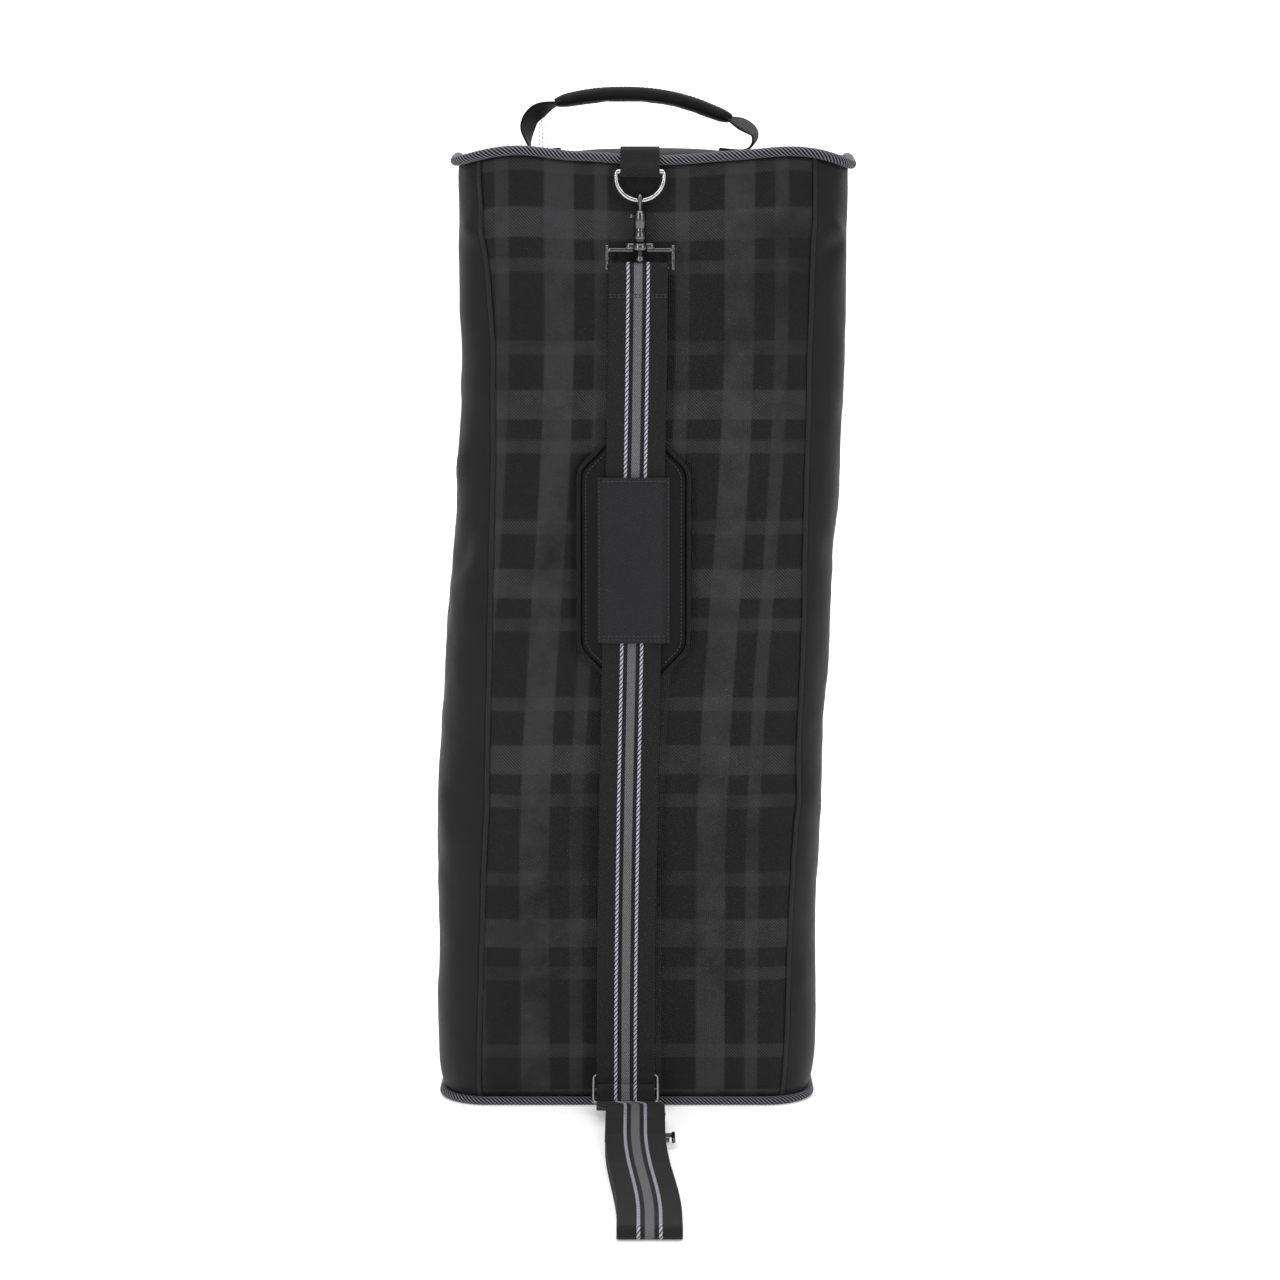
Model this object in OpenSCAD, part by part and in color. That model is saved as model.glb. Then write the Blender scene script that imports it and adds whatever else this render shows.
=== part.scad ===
// Tall soft storage bag with a rear zip flap, a carry handle and a clip-on shoulder strap.
// Origin: on the floor, at the centre of the base. Front faces -Y, +X is to the right, +Z is up.

/* [Bag] */
// Width of the bag
bag_w = 252; // [200:1:320]
// Depth of the bag, front to back
bag_d = 130; // [110:1:170]
// Height of the bag, over both rims
bag_h = 626; // [520:1:760]
// Radius of the upright corners
corner_r = 34; // [20:1:44]
// Thickness of the fabric walls
wall = 2; // [1:0.1:2.4]
// Thickness of the padded base
base_t = 5.5; // [4:0.1:8]
// Thickness of the stiffening boards
board_t = 2.5; // [1.5:0.1:4]
// Radius of the corded piping
piping_r = 3.2; // [2:0.1:4]
// Distance of the gusset seams from the side of the bag
gusset_inset = 22; // [14:1:26]

/* [Rear flap] */
// Width of the margin between the gusset seam and the opening
door_margin_x = 15; // [12:1:30]
// Height of the panel left above and below the opening
door_margin_z = 36; // [30:1:60]
// Radius of the free corners of the flap
door_r = 36; // [26:1:50]
// Width of the zip gap, from panel edge to flap edge
zip_gap = 9; // [8:0.5:14]
// Width of each coil
coil_w = 2; // [1.5:0.1:2.5]
// Length of the zip slider
slider_len = 13; // [10:0.5:16]

/* [Handle] */
// Span of the carry handle
handle_span = 150; // [120:1:170]
// Height of the carry handle over the bag's top rim
handle_rise = 43; // [36:1:60]
// Width of the handle webbing
handle_w = 25; // [16:1:30]
// Length of the padded grip
grip_len = 108; // [70:1:115]
// Thickness of the padded grip
grip_t = 10; // [7:0.5:12]

/* [Strap] */
// Width of the shoulder strap
strap_w = 38; // [25:1:50]
// Thickness of the strap webbing
strap_t = 1.5; // [1:0.1:2]
// Length of the strap loop that lies on the floor
floor_loop = 280; // [200:1:340]
// Distance of the upper edge of the shoulder pad below the top of the bag
pad_drop = 184; // [160:1:200]
// Length of the shoulder pad
pad_len = 157; // [120:1:160]
// Width of the shoulder pad
pad_w = 72; // [60:1:90]
// Thickness of the shoulder pad
pad_t = 6; // [4:0.5:8]
// Length of the sleeve on the shoulder pad
sleeve_len = 107; // [80:1:115]

/* [Metalwork] */
// Thickness of the wire of the rings, loops and sliders
wire_d = 3; // [2:0.1:3.4]
// Outer width of the D-ring
ring_w = 33.5; // [30:0.5:38]
// Width of the ring tab webbing
tab_w = 25; // [20:1:26]
// Length of the upper ring tab between the piping and its ring
tab_len_top = 6.5; // [4.5:0.5:13.5]
// Length of the lower ring tab
tab_len_low = 36; // [30:0.5:45]
// How far the thumb bolt pulls back
bolt_travel = 5; // [3:0.5:5.5]

/* [Hidden] */
$fn = 48;

// Clearance between pieces that move past each other
clear = 0.35;
// Clearance of a shaft in its bore
fit = 0.1;
// Clearance between pieces that only lie beside each other
gap = 0.3;

// Walls: they stand on the base and end where the upper piping starts
piping_off = 0.72 * piping_r;
shell_z0 = base_t;
shell_z1 = bag_h - piping_off - piping_r;
// Underside of the upper piping, and how far the top panel stays in to clear it
tab_z1 = shell_z1 + piping_off - piping_r - fit;
top_inset = piping_r - piping_off + fit;
top_t = 2;
top_z = shell_z1 + top_t;
// The lower piping lies on the floor and leans against the foot of the wall, to a hundredth
foot_reach = pow(piping_r + fit, 2) - pow(base_t - piping_r, 2);
low_piping_off = max(piping_off, ceil(100 * sqrt(max(0, foot_reach))) / 100);
base_inset = piping_r - low_piping_off + fit;
front_y = -bag_d / 2;
rear_y = bag_d / 2;
seam_x = bag_w / 2 - gusset_inset;

// Rear opening: straight on the hinge side, rounded on the free side
door_x0 = -seam_x + door_margin_x;
door_x1 = seam_x - door_margin_x;
door_z0 = shell_z0 + door_margin_z;
door_z1 = shell_z1 - door_margin_z;
hinge_gap = 0.5;
tape_t = 1.2;
tape_lap = 6;
coil_gap = 1.2;
coil_t = 1.8;
chain_z = door_z1 - zip_gap / 2;
coil_y = rear_y - wall;
tape_y = coil_y - tape_t;
stop_len = 3;
stop_x = door_x0 + 1;

// Zip slider and pull: the slider runs along the upper run of the zip
slider_w = 8;
slider_plate_t = 1.2;
slider_web_t = coil_gap - 2 * clear;
slider_x0 = stop_x + stop_len + 1;
slider_in_y = tape_y - clear;
slider_out_y = coil_y + coil_t + clear;
lug_w = 2.4;
lug_r = 1.7;
lug_hole_r = 0.85;
pull_pin_r = lug_hole_r - fit;
lug_x = slider_x0 + slider_len / 2;
lug_y = slider_out_y + slider_plate_t + 1.4;
pull_len = 26;
pull_w = 6;
pull_t = 1.6;

// Handle: hinge line, arch and grip
hinge_clear = 0.6;
handle_z = top_z + handle_w / 2 + hinge_clear;
handle_t = 1.6;
handle_top = bag_h + handle_rise;
arch_z = handle_top - grip_t / 2;
leg_x = handle_span / 2;
shoulder_x = grip_len / 2 + 2;
anchor_rise = 6;
leg_top = handle_z + norm([anchor_rise, handle_w / 2]) + 1.5;
foot_len = 22;

// Strap routing: distances are measured forward of the front panel
wire_r = wire_d / 2;
wrap_r = wire_r + clear + strap_t / 2;
layer = strap_t + gap;
pad_out = 0.8;
pad_z = bag_h - pad_drop - pad_len;
strap_out = pad_out + pad_t + clear + strap_t / 2;
sleeve_t = 1;
loop_out = strap_out - layer / 2;

// D-ring and hook, measured from the ring's outer edge, along the pull
ring_r = (ring_w - wire_d) / 2;
ring_leg = 3;
ring_reach = ring_r + ring_leg;
ring_bar_z = tab_z1 - tab_len_top - wire_r;
crossing_z = ring_bar_z - ring_reach;
hook_in_r = 2.8;
hook_out_r = 5;
hook_t = 4;
bolt_y = 3.9;
bolt_r = 1.2;
barrel_r = 3;
barrel_top = 6;
barrel_len = 19;
spring_r = 1.1;
spring_wall = 0.5;
post_r = 2.1;
collar_w = 17.6;
collar_d = 8;
collar_t = 5.7;
collar_top = barrel_top + barrel_len + 1;
head_r = 3;
head_t = 3.4;
head_top = collar_top + collar_t + clear;
loop_in_w = strap_w + 0.8;
loop_leg_w = 3.4;
loop_bar_off = 42.3;
loop_top_off = collar_top + 4.8;
knob_slot = 1.1;
knob_r = 0.9;
knob_head_r = 1.5;
knob_head_t = 1.4;
knob_z = barrel_top + 4;
bolt_len = 8.5;

floor_gap = 0.3;
stack_z0 = floor_gap + strap_t / 2;
strap_bar_z = crossing_z - loop_bar_off;
low_z = hook_out_r + 2 * floor_gap;
low_bar_out = tab_len_low + wire_r;
low_cross_out = low_bar_out + ring_reach;
low_loop_out = low_cross_out + loop_bar_off;

// Strap slider: lower bar near the floor, tilted with the strap
slider_tilt = 41;
bar_pitch = 10.6;
slider_bar_out = 24;
slider_bar_z = stack_z0 + 3 * layer + wrap_r;
sl_down = [-cos(slider_tilt), -sin(slider_tilt)];
sl_front = [-sin(slider_tilt), cos(slider_tilt)];
slider_c = [front_y - slider_bar_out, slider_bar_z] - bar_pitch * sl_down;
slider_inner_w = strap_w + 1.2;
slider_side = 3;

// Floor loop: the folded strap lies under the lower hook and rides over the ring tab
fold_r = 1.9 + layer;
fold_z = stack_z0 + fold_r;
hump_z = low_z + bolt_y + barrel_r + clear + strap_t / 2;
rise = 30;
ride_z = low_z + wrap_r + layer + gap;
ride_out = slider_bar_out + (wrap_r + layer) * sin(rise)
    + (ride_z - slider_bar_z + (wrap_r + layer) * cos(rise)) / tan(rise);
tab_join_out = low_bar_out - wrap_r * sin(rise)
    - (low_z + wrap_r * cos(rise) - stack_z0 - layer) / tan(rise);

// ---------- helpers ----------

function unit(v) = v / norm(v);
function last(path) = len(path) - 1;
function turn(path, i) = i == 0 ? unit(path[1] - path[0])
    : i == last(path) ? unit(path[i] - path[i - 1])
    : unit(unit(path[i + 1] - path[i]) + unit(path[i] - path[i - 1]));
function miter(path, i) = i == 0 || i == last(path) ? 1
    : 1 / max(0.5, turn(path, i) * unit(path[i] - path[i - 1]));
function beside(path, i, off) = path[i] + off * miter(path, i) * [-turn(path, i)[1], turn(path, i)[0]];
function ribbon_outline(path, t) = concat(
    [for (i = [0 : last(path)]) beside(path, i, t / 2)],
    [for (i = [last(path) : -1 : 0]) beside(path, i, -t / 2)]);
function out(d, z) = [front_y - d, z];
function arc(c, r, a0, a1, steps) = [for (k = [0 : steps]) c + r * [cos(a0 + (a1 - a0) * k / steps),
    sin(a0 + (a1 - a0) * k / steps)]];
function local_arc(s, r, a0, a1, steps) = [for (p = arc([s, 0], r, a0, a1, steps)) slider_c + p[0] * sl_down
    + p[1] * sl_front];

// A band of width w along a path of [y, z] points, centred on x = 0
module band(path, w, t) {
    rotate([90, 0, 90])
        translate([0, 0, -w / 2])
            linear_extrude(w)
                polygon(ribbon_outline(path, t));
}

module rounded_slab(inset, z0, z1) {
    r = corner_r - inset;
    cx = bag_w / 2 - corner_r;
    cy = bag_d / 2 - corner_r;
    translate([0, 0, z0])
        linear_extrude(z1 - z0)
            union() {
                square([2 * cx, bag_d - 2 * inset], center = true);
                square([bag_w - 2 * inset, 2 * cy], center = true);
                for (sx = [-1, 1], sy = [-1, 1])
                    translate([sx * cx, sy * cy])
                        circle(r, $fn = 96);
            }
}

module shell_wall() {
    difference() {
        rounded_slab(0, shell_z0, shell_z1);
        rounded_slab(wall, shell_z0 - 1, shell_z1 + 1);
    }
}

// Keeps the part of the shell between two planes across X, on one side of Y
module wall_part(x0, x1, y0, y1) {
    intersection() {
        shell_wall();
        translate([x0, y0, shell_z0 - 2])
            cube([x1 - x0, y1 - y0, shell_z1 - shell_z0 + 4]);
    }
}

module cord_loop(z, off) {
    cx = bag_w / 2 - corner_r;
    cy = bag_d / 2 - corner_r;
    r = corner_r + off;
    for (k = [0 : 3])
        translate([k == 0 || k == 3 ? cx : -cx, k < 2 ? cy : -cy, z])
            rotate([0, 0, 90 * k])
                rotate_extrude(angle = 90, $fn = 96)
                    translate([r, 0])
                        circle(piping_r, $fn = 24);
    for (sy = [-1, 1])
        translate([-cx, sy * (cy + r), z])
            rotate([0, 90, 0])
                cylinder(h = 2 * cx, r = piping_r, $fn = 24);
    for (sx = [-1, 1])
        translate([sx * (cx + r), cy, z])
            rotate([90, 0, 0])
                cylinder(h = 2 * cy, r = piping_r, $fn = 24);
}

// Outline of the rear opening in X and Z, drawn in by off on its three zipped sides
module door_outline(off) {
    r = door_r - off;
    x1 = door_x1 - off;
    z0 = door_z0 + off;
    z1 = door_z1 - off;
    union() {
        translate([door_x0, z0])
            square([x1 - r - door_x0, z1 - z0]);
        translate([door_x0, z0 + r])
            square([x1 - door_x0, z1 - z0 - 2 * r]);
        for (cz = [z0 + r, z1 - r])
            translate([x1 - r, cz])
                circle(r, $fn = 96);
    }
}

// Raises an X, Z outline into a plate between two depths
module upright(y0, y1) {
    translate([0, y1, 0])
        rotate([90, 0, 0])
            linear_extrude(y1 - y0)
                children();
}

module door_ring(outer, inner, x0, y0, y1) {
    upright(y0, y1)
        difference() {
            door_outline(outer);
            door_outline(inner);
            translate([door_x0 - 1, door_z0 - 20])
                square([x0 - door_x0 + 1, door_z1 - door_z0 + 40]);
        }
}

// ---------- bag ----------

module base_panel() {
    color([0.10, 0.10, 0.11])
        rounded_slab(base_inset, 0, base_t);
}

module base_board() {
    color([0.35, 0.30, 0.25])
        rounded_slab(wall + 1, base_t, base_t + board_t);
}

module front_panel() {
    color([0.16, 0.16, 0.18])
        wall_part(-seam_x, seam_x, front_y - 1, 0);
}

module gusset(side) {
    x0 = side > 0 ? seam_x : -bag_w / 2 - 1;
    x1 = side > 0 ? bag_w / 2 + 1 : -seam_x;
    wall_part(x0, x1, front_y - 1, rear_y + 1);
}

module left_gusset() {
    color([0.12, 0.12, 0.14])
        gusset(-1);
}

module right_gusset() {
    color([0.12, 0.12, 0.14])
        gusset(1);
}

module rear_panel() {
    color([0.14, 0.14, 0.16])
        difference() {
            wall_part(-seam_x, seam_x, 0, rear_y + 1);
            upright(rear_y - wall - 1, rear_y + 1)
                door_outline(0);
        }
}

module top_panel() {
    color([0.09, 0.09, 0.10])
        rounded_slab(top_inset, shell_z1, top_z);
}

module top_board() {
    color([0.35, 0.30, 0.25])
        rounded_slab(wall + 1, shell_z1 - board_t, shell_z1);
}

module top_piping() {
    color([0.55, 0.53, 0.60])
        cord_loop(shell_z1 + piping_off, piping_off);
}

module bottom_piping() {
    color([0.55, 0.53, 0.60])
        cord_loop(piping_r, low_piping_off);
}

// ---------- rear flap and zip ----------

module rear_flap() {
    color([0.16, 0.16, 0.18])
        upright(rear_y - wall, rear_y)
            difference() {
                door_outline(zip_gap);
                translate([door_x0 - 1, door_z0])
                    square([1 + hinge_gap, door_z1 - door_z0]);
            }
}

module zip_tape_bag() {
    color([0.05, 0.05, 0.05])
        intersection() {
            door_ring(-tape_lap, (zip_gap + coil_gap) / 2 - coil_gap, door_x0, tape_y, coil_y);
            rounded_slab(wall, shell_z0, shell_z1);
        }
}

module zip_tape_flap() {
    color([0.05, 0.05, 0.05])
        door_ring((zip_gap + coil_gap) / 2, zip_gap + tape_lap, door_x0 + hinge_gap, tape_y, coil_y);
}

module zip_coil_bag() {
    mid = (zip_gap - coil_gap) / 2;
    color([0.12, 0.12, 0.12])
        door_ring(mid - coil_w, mid, door_x0, coil_y, coil_y + coil_t);
}

module zip_coil_flap() {
    mid = (zip_gap + coil_gap) / 2;
    color([0.12, 0.12, 0.12])
        door_ring(mid, mid + coil_w, door_x0 + hinge_gap, coil_y, coil_y + coil_t);
}

// Crimped stops on the bag's side of the zip, at both ends
module zip_stops() {
    mid = (zip_gap - coil_gap) / 2;
    color([0.25, 0.25, 0.27])
        for (z = [door_z0 + mid - coil_w, door_z1 - mid])
            translate([stop_x, coil_y + coil_t, z])
                cube([stop_len, 0.8, coil_w]);
}

// Plate of the slider from the flap's side up to a height over the middle of the chain
module slider_plate(y, over) {
    translate([slider_x0, y, chain_z - slider_w / 2])
        cube([slider_len, slider_plate_t, slider_w / 2 + over]);
}

// The inner plate holds the flap's coil alone, so the slider leaves the bag's coil with the flap
module zip_slider() {
    color([0.25, 0.25, 0.27])
        difference() {
            union() {
                slider_plate(slider_out_y, slider_w / 2);
                slider_plate(slider_in_y - slider_plate_t, slider_web_t / 2);
                translate([slider_x0, slider_in_y - 0.1, chain_z - slider_web_t / 2])
                    cube([slider_len, slider_out_y - slider_in_y + 0.2, slider_web_t]);
                translate([lug_x, lug_y, chain_z - lug_w / 2])
                    cylinder(h = lug_w, r = lug_r);
                translate([lug_x - lug_r, slider_out_y + slider_plate_t - 0.1, chain_z - lug_w / 2])
                    cube([2 * lug_r, lug_y - slider_out_y - slider_plate_t + 0.1, lug_w]);
            }
            translate([lug_x, lug_y, chain_z - lug_w])
                cylinder(h = 2 * lug_w, r = lug_hole_r);
        }
}

module zip_pull() {
    fork = lug_w / 2 + 0.25;
    color([0.30, 0.30, 0.32])
        union() {
            translate([lug_x, lug_y, chain_z - pull_w / 2])
                cylinder(h = pull_w, r = pull_pin_r);
            for (s = [-1, 1])
                translate([lug_x, lug_y - pull_t / 2, chain_z + (s > 0 ? fork : -pull_w / 2)])
                    cube([lug_r + 2.4, pull_t, pull_w / 2 - fork]);
            translate([lug_x + lug_r + 0.6, lug_y - pull_t / 2, chain_z - pull_w / 2])
                cube([pull_len - pull_w / 2, pull_t, pull_w]);
            translate([lug_x + lug_r + 0.6 + pull_len - pull_w / 2, lug_y - pull_t / 2, chain_z])
                rotate([-90, 0, 0])
                    cylinder(h = pull_t, r = pull_w / 2);
        }
}

// ---------- carry handle ----------

// Sewn feet on the top panel; the handle's legs hang beside them
module handle_anchors() {
    x = leg_x - handle_t - gap;
    color([0.08, 0.08, 0.09])
        for (s = [-1, 1]) {
            translate([s * (x - handle_t / 2) - handle_t / 2, -handle_w / 2, top_z])
                cube([handle_t, handle_w, handle_z + anchor_rise - top_z]);
            translate([s > 0 ? x - foot_len : -x, -handle_w / 2, top_z])
                cube([foot_len, handle_w, handle_t]);
        }
}

// Webbing of the handle: an upright leg, a shoulder and a flat top on each side
function handle_path() = [
    [-leg_x + handle_t / 2, handle_z],
    [-leg_x + handle_t / 2, leg_top],
    [-leg_x + 7, arch_z - 6],
    [-shoulder_x, arch_z - 1.5],
    [-shoulder_x + 12, arch_z],
    [shoulder_x - 12, arch_z],
    [shoulder_x, arch_z - 1.5],
    [leg_x - 7, arch_z - 6],
    [leg_x - handle_t / 2, leg_top],
    [leg_x - handle_t / 2, handle_z]];

module handle_webbing() {
    color([0.08, 0.08, 0.09])
        translate([0, handle_w / 2, 0])
            rotate([90, 0, 0])
                linear_extrude(handle_w)
                    polygon(ribbon_outline(handle_path(), handle_t));
}

module handle_grip() {
    half = grip_len / 2;
    wide = handle_w + 6;
    color([0.10, 0.10, 0.11])
        difference() {
            union() {
                translate([-half, -(wide - grip_t) / 2, arch_z - grip_t / 2])
                    cube([grip_len, wide - grip_t, grip_t]);
                for (s = [-1, 1])
                    translate([-half, s * (wide - grip_t) / 2, arch_z])
                        rotate([0, 90, 0])
                            cylinder(h = grip_len, r = grip_t / 2);
            }
            translate([0, handle_w / 2 + gap, 0])
                rotate([90, 0, 0])
                    linear_extrude(handle_w + 2 * gap)
                        polygon(ribbon_outline(handle_path(), handle_t + 0.1));
        }
}

// ---------- ring tab, D-ring and snap hook, built in their own pull frame ----------

// Pull frame: origin where the ring crosses the hook, +Z towards the bag's seam, -Y is the gate side
module at_top() {
    translate([0, front_y - loop_out, crossing_z])
        children();
}

// The lower set lies on the floor, with its gate side up and its +Z pointing back at the bag
module at_low() {
    translate([0, front_y - low_cross_out, low_z])
        rotate([-90, 0, 0])
            children();
}

module d_ring() {
    color([0.78, 0.78, 0.80])
        union() {
            translate([0, 0, ring_r])
                rotate([90, 0, 0])
                    rotate([0, 0, 180])
                        rotate_extrude(angle = 180, $fn = 96)
                            translate([ring_r, 0])
                                circle(wire_r);
            for (s = [-1, 1]) {
                translate([s * ring_r, 0, ring_r])
                    cylinder(h = ring_leg, r = wire_r);
                translate([s * ring_r, 0, ring_reach])
                    sphere(wire_r);
            }
            translate([-ring_r, 0, ring_reach])
                rotate([0, 90, 0])
                    cylinder(h = 2 * ring_r, r = wire_r);
        }
}

module snap_hook() {
    color([0.32, 0.31, 0.32])
        difference() {
            union() {
                translate([-hook_t / 2, 0, 0])
                    rotate([0, 90, 0])
                        cylinder(h = hook_t, r = hook_out_r);
                translate([-hook_t / 2, 0, -barrel_top - barrel_len])
                    cube([hook_t, hook_out_r, barrel_top + barrel_len]);
                translate([-hook_t / 2, -bolt_y, -barrel_top - barrel_len])
                    cube([hook_t, bolt_y + 1, barrel_len]);
                translate([0, -bolt_y, -barrel_top - barrel_len])
                    cylinder(h = barrel_len, r = barrel_r);
                translate([0, 0, -head_top - head_t])
                    cylinder(h = head_top + head_t - barrel_top - barrel_len + 0.5, r = post_r);
                translate([0, 0, -head_top - head_t])
                    cylinder(h = head_t, r = head_r);
            }
            translate([-hook_t, 0, 0])
                rotate([0, 90, 0])
                    cylinder(h = 2 * hook_t, r = hook_in_r);
            translate([-hook_t, -hook_in_r, -barrel_top])
                cube([2 * hook_t, 2 * hook_in_r, barrel_top]);
            translate([-hook_t, -hook_out_r - 1, -barrel_top])
                cube([2 * hook_t, hook_out_r + 1 - hook_in_r + 0.5, barrel_top + 0.6]);
            translate([0, -bolt_y, -barrel_top - barrel_len + 1])
                cylinder(h = barrel_len + barrel_top + 2.4, r = bolt_r + fit);
            translate([-hook_out_r, -bolt_y - knob_slot, -knob_z - bolt_travel - knob_slot])
                cube([hook_out_r, 2 * knob_slot, bolt_travel + 2 * knob_slot]);
        }
}

module snap_bolt() {
    color([0.40, 0.39, 0.40])
        union() {
            translate([0, -bolt_y, -barrel_top - bolt_len])
                cylinder(h = bolt_len + barrel_top + 1.6, r = bolt_r);
            translate([-hook_out_r, -bolt_y, -knob_z])
                rotate([0, 90, 0])
                    cylinder(h = hook_out_r - bolt_r / 2, r = knob_r);
            translate([-hook_out_r - knob_head_t, -bolt_y, -knob_z])
                rotate([0, 90, 0])
                    cylinder(h = knob_head_t + 0.2, r = knob_head_r);
        }
}

module bolt_spring() {
    color([0.6, 0.6, 0.62])
        translate([0, -bolt_y, -barrel_top - barrel_len + 1])
            difference() {
                cylinder(h = barrel_len - 1 - bolt_len - gap, r = spring_r);
                translate([0, 0, -1])
                    cylinder(h = barrel_len, r = spring_r - spring_wall);
            }
}

module strap_loop() {
    leg_x1 = loop_in_w / 2 + loop_leg_w;
    color([0.32, 0.31, 0.32])
        difference() {
            union() {
                translate([-collar_w / 2, -collar_d / 2, -collar_top - collar_t])
                    cube([collar_w, collar_d, collar_t]);
                translate([-leg_x1, -wire_r, -loop_top_off])
                    cube([2 * leg_x1, 2 * wire_r, wire_d]);
                for (s = [-1, 1])
                    translate([s > 0 ? loop_in_w / 2 : -leg_x1, -wire_r, -loop_bar_off - wire_r])
                        cube([loop_leg_w, 2 * wire_r, loop_bar_off - loop_top_off + 2 * wire_r]);
                translate([-leg_x1 + 1, 0, -loop_bar_off])
                    rotate([0, 90, 0])
                        cylinder(h = 2 * leg_x1 - 2, r = wire_r);
            }
            translate([0, 0, -head_top - 2 * head_t])
                cylinder(h = collar_t + 3 * head_t, r = post_r + fit);
            translate([0, 0, -head_top - 2 * head_t])
                cylinder(h = 2 * head_t + clear - gap, r = head_r + clear);
        }
}

module ring_tab_top() {
    bar_out = loop_out;
    path = concat(
        [out(strap_t / 2, tab_z1), out(strap_t / 2, tab_z1 - 1), out(bar_out - wrap_r, ring_bar_z + 1)],
        arc(out(bar_out, ring_bar_z), wrap_r, 0, -180, 8),
        [out(bar_out + wrap_r, ring_bar_z + 1), out(strap_t / 2 + layer, tab_z1 - 0.4),
            out(strap_t / 2 + layer, tab_z1)]);
    color([0.10, 0.10, 0.11])
        band(path, tab_w, strap_t);
}

module ring_tab_low() {
    path = concat(
        [out(low_piping_off, stack_z0), out(low_bar_out - 8, stack_z0)],
        arc(out(low_bar_out, low_z), wrap_r, -90, -270 - rise, 9),
        [out(tab_join_out, stack_z0 + layer), out(low_piping_off, stack_z0 + layer)]);
    color([0.10, 0.10, 0.11])
        difference() {
            band(path, tab_w, strap_t);
            translate([-tab_w, front_y - low_piping_off, piping_r])
                rotate([0, 90, 0])
                    cylinder(h = 2 * tab_w, r = piping_r + fit);
        }
}

module d_ring_top() {
    at_top() d_ring();
}

module snap_hook_top() {
    at_top() snap_hook();
}

module snap_bolt_top() {
    at_top() snap_bolt();
}

module bolt_spring_top() {
    at_top() bolt_spring();
}

module strap_loop_top() {
    at_top() strap_loop();
}

module d_ring_low() {
    at_low() d_ring();
}

module snap_hook_low() {
    at_low() snap_hook();
}

module snap_bolt_low() {
    at_low() snap_bolt();
}

module bolt_spring_low() {
    at_low() bolt_spring();
}

module strap_loop_low() {
    at_low() strap_loop();
}

// ---------- shoulder strap ----------

cross_top = asin((2 * wrap_r + layer) / bar_pitch);
cross_low = asin(2 * wrap_r / bar_pitch);
slider_exit = 270 + slider_tilt + rise;

// Upper run: sewn round the top loop, down the front, through the slider, forward over the floor hook,
// folded back to the lower loop, and out again below itself to the slider's middle bar
strap_path = concat(
    [out(loop_out - layer / 2, strap_bar_z - 18), out(loop_out - layer / 2, strap_bar_z - 9)],
    arc(out(loop_out, strap_bar_z), wrap_r, 0, 180, 8),
    [out(strap_out, strap_bar_z - 9), out(strap_out, 60), out(strap_out, 44)],
    local_arc(-bar_pitch, wrap_r, 90, 90 - cross_top, 3),
    local_arc(0, wrap_r + layer, 270 - cross_top, 270, 3),
    local_arc(bar_pitch, wrap_r + layer, 270, slider_exit, 4),
    [out(ride_out, ride_z), out(low_cross_out - 4, hump_z), out(low_loop_out - 14, hump_z),
        out(low_loop_out + 10, fold_z + 4.8), out(low_loop_out + 60, fold_z + fold_r - layer),
        out(floor_loop, fold_z + fold_r - layer)],
    arc(out(floor_loop, fold_z), fold_r - layer, 90, 270, 8),
    [out(low_loop_out + 24, fold_z - fold_r + layer)],
    arc(out(low_loop_out, low_z), wrap_r, 90, -90, 8),
    [out(low_loop_out + 20, stack_z0)],
    arc(out(floor_loop, fold_z), fold_r, 270, 90, 12),
    [out(low_loop_out + 60, fold_z + fold_r), out(low_loop_out + 10, fold_z + 4.8 + layer),
        out(low_loop_out - 14, hump_z + layer), out(low_cross_out - 4, hump_z + layer),
        out(ride_out - 0.36 * layer, ride_z + 0.95 * layer)],
    local_arc(bar_pitch, wrap_r, slider_exit, 270 - cross_low, 5),
    local_arc(0, wrap_r, 90 - cross_low, 270, 8),
    [slider_c + 3.2 * sl_down - wrap_r * sl_front]);

module strap_webbing() {
    color([0.12, 0.12, 0.13])
        band(strap_path, strap_w, strap_t);
}

module slider_bar(s) {
    c = slider_c + s * sl_down;
    translate([-slider_inner_w / 2 - slider_side, c[0], c[1]])
        rotate([0, 90, 0])
            cylinder(h = slider_inner_w + 2 * slider_side, r = wire_r);
}

module strap_slider() {
    color([0.80, 0.78, 0.74])
        union() {
            for (k = [-1 : 1])
                slider_bar(k * bar_pitch);
            for (s = [-1, 1])
                translate([s * (slider_inner_w + slider_side) / 2, slider_c[0], slider_c[1]])
                    rotate([slider_tilt, 0, 0])
                        cube([slider_side, 2 * bar_pitch, wire_d], center = true);
        }
}

module shoulder_pad() {
    cut = 20;
    color([0.06, 0.06, 0.07])
        upright(front_y - pad_out - pad_t, front_y - pad_out)
            polygon([[-pad_w / 2 + cut, pad_z], [pad_w / 2 - cut, pad_z], [pad_w / 2, pad_z + cut],
                [pad_w / 2, pad_z + pad_len - cut], [pad_w / 2 - cut, pad_z + pad_len],
                [-pad_w / 2 + cut, pad_z + pad_len], [-pad_w / 2, pad_z + pad_len - cut],
                [-pad_w / 2, pad_z + cut]]);
}

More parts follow.
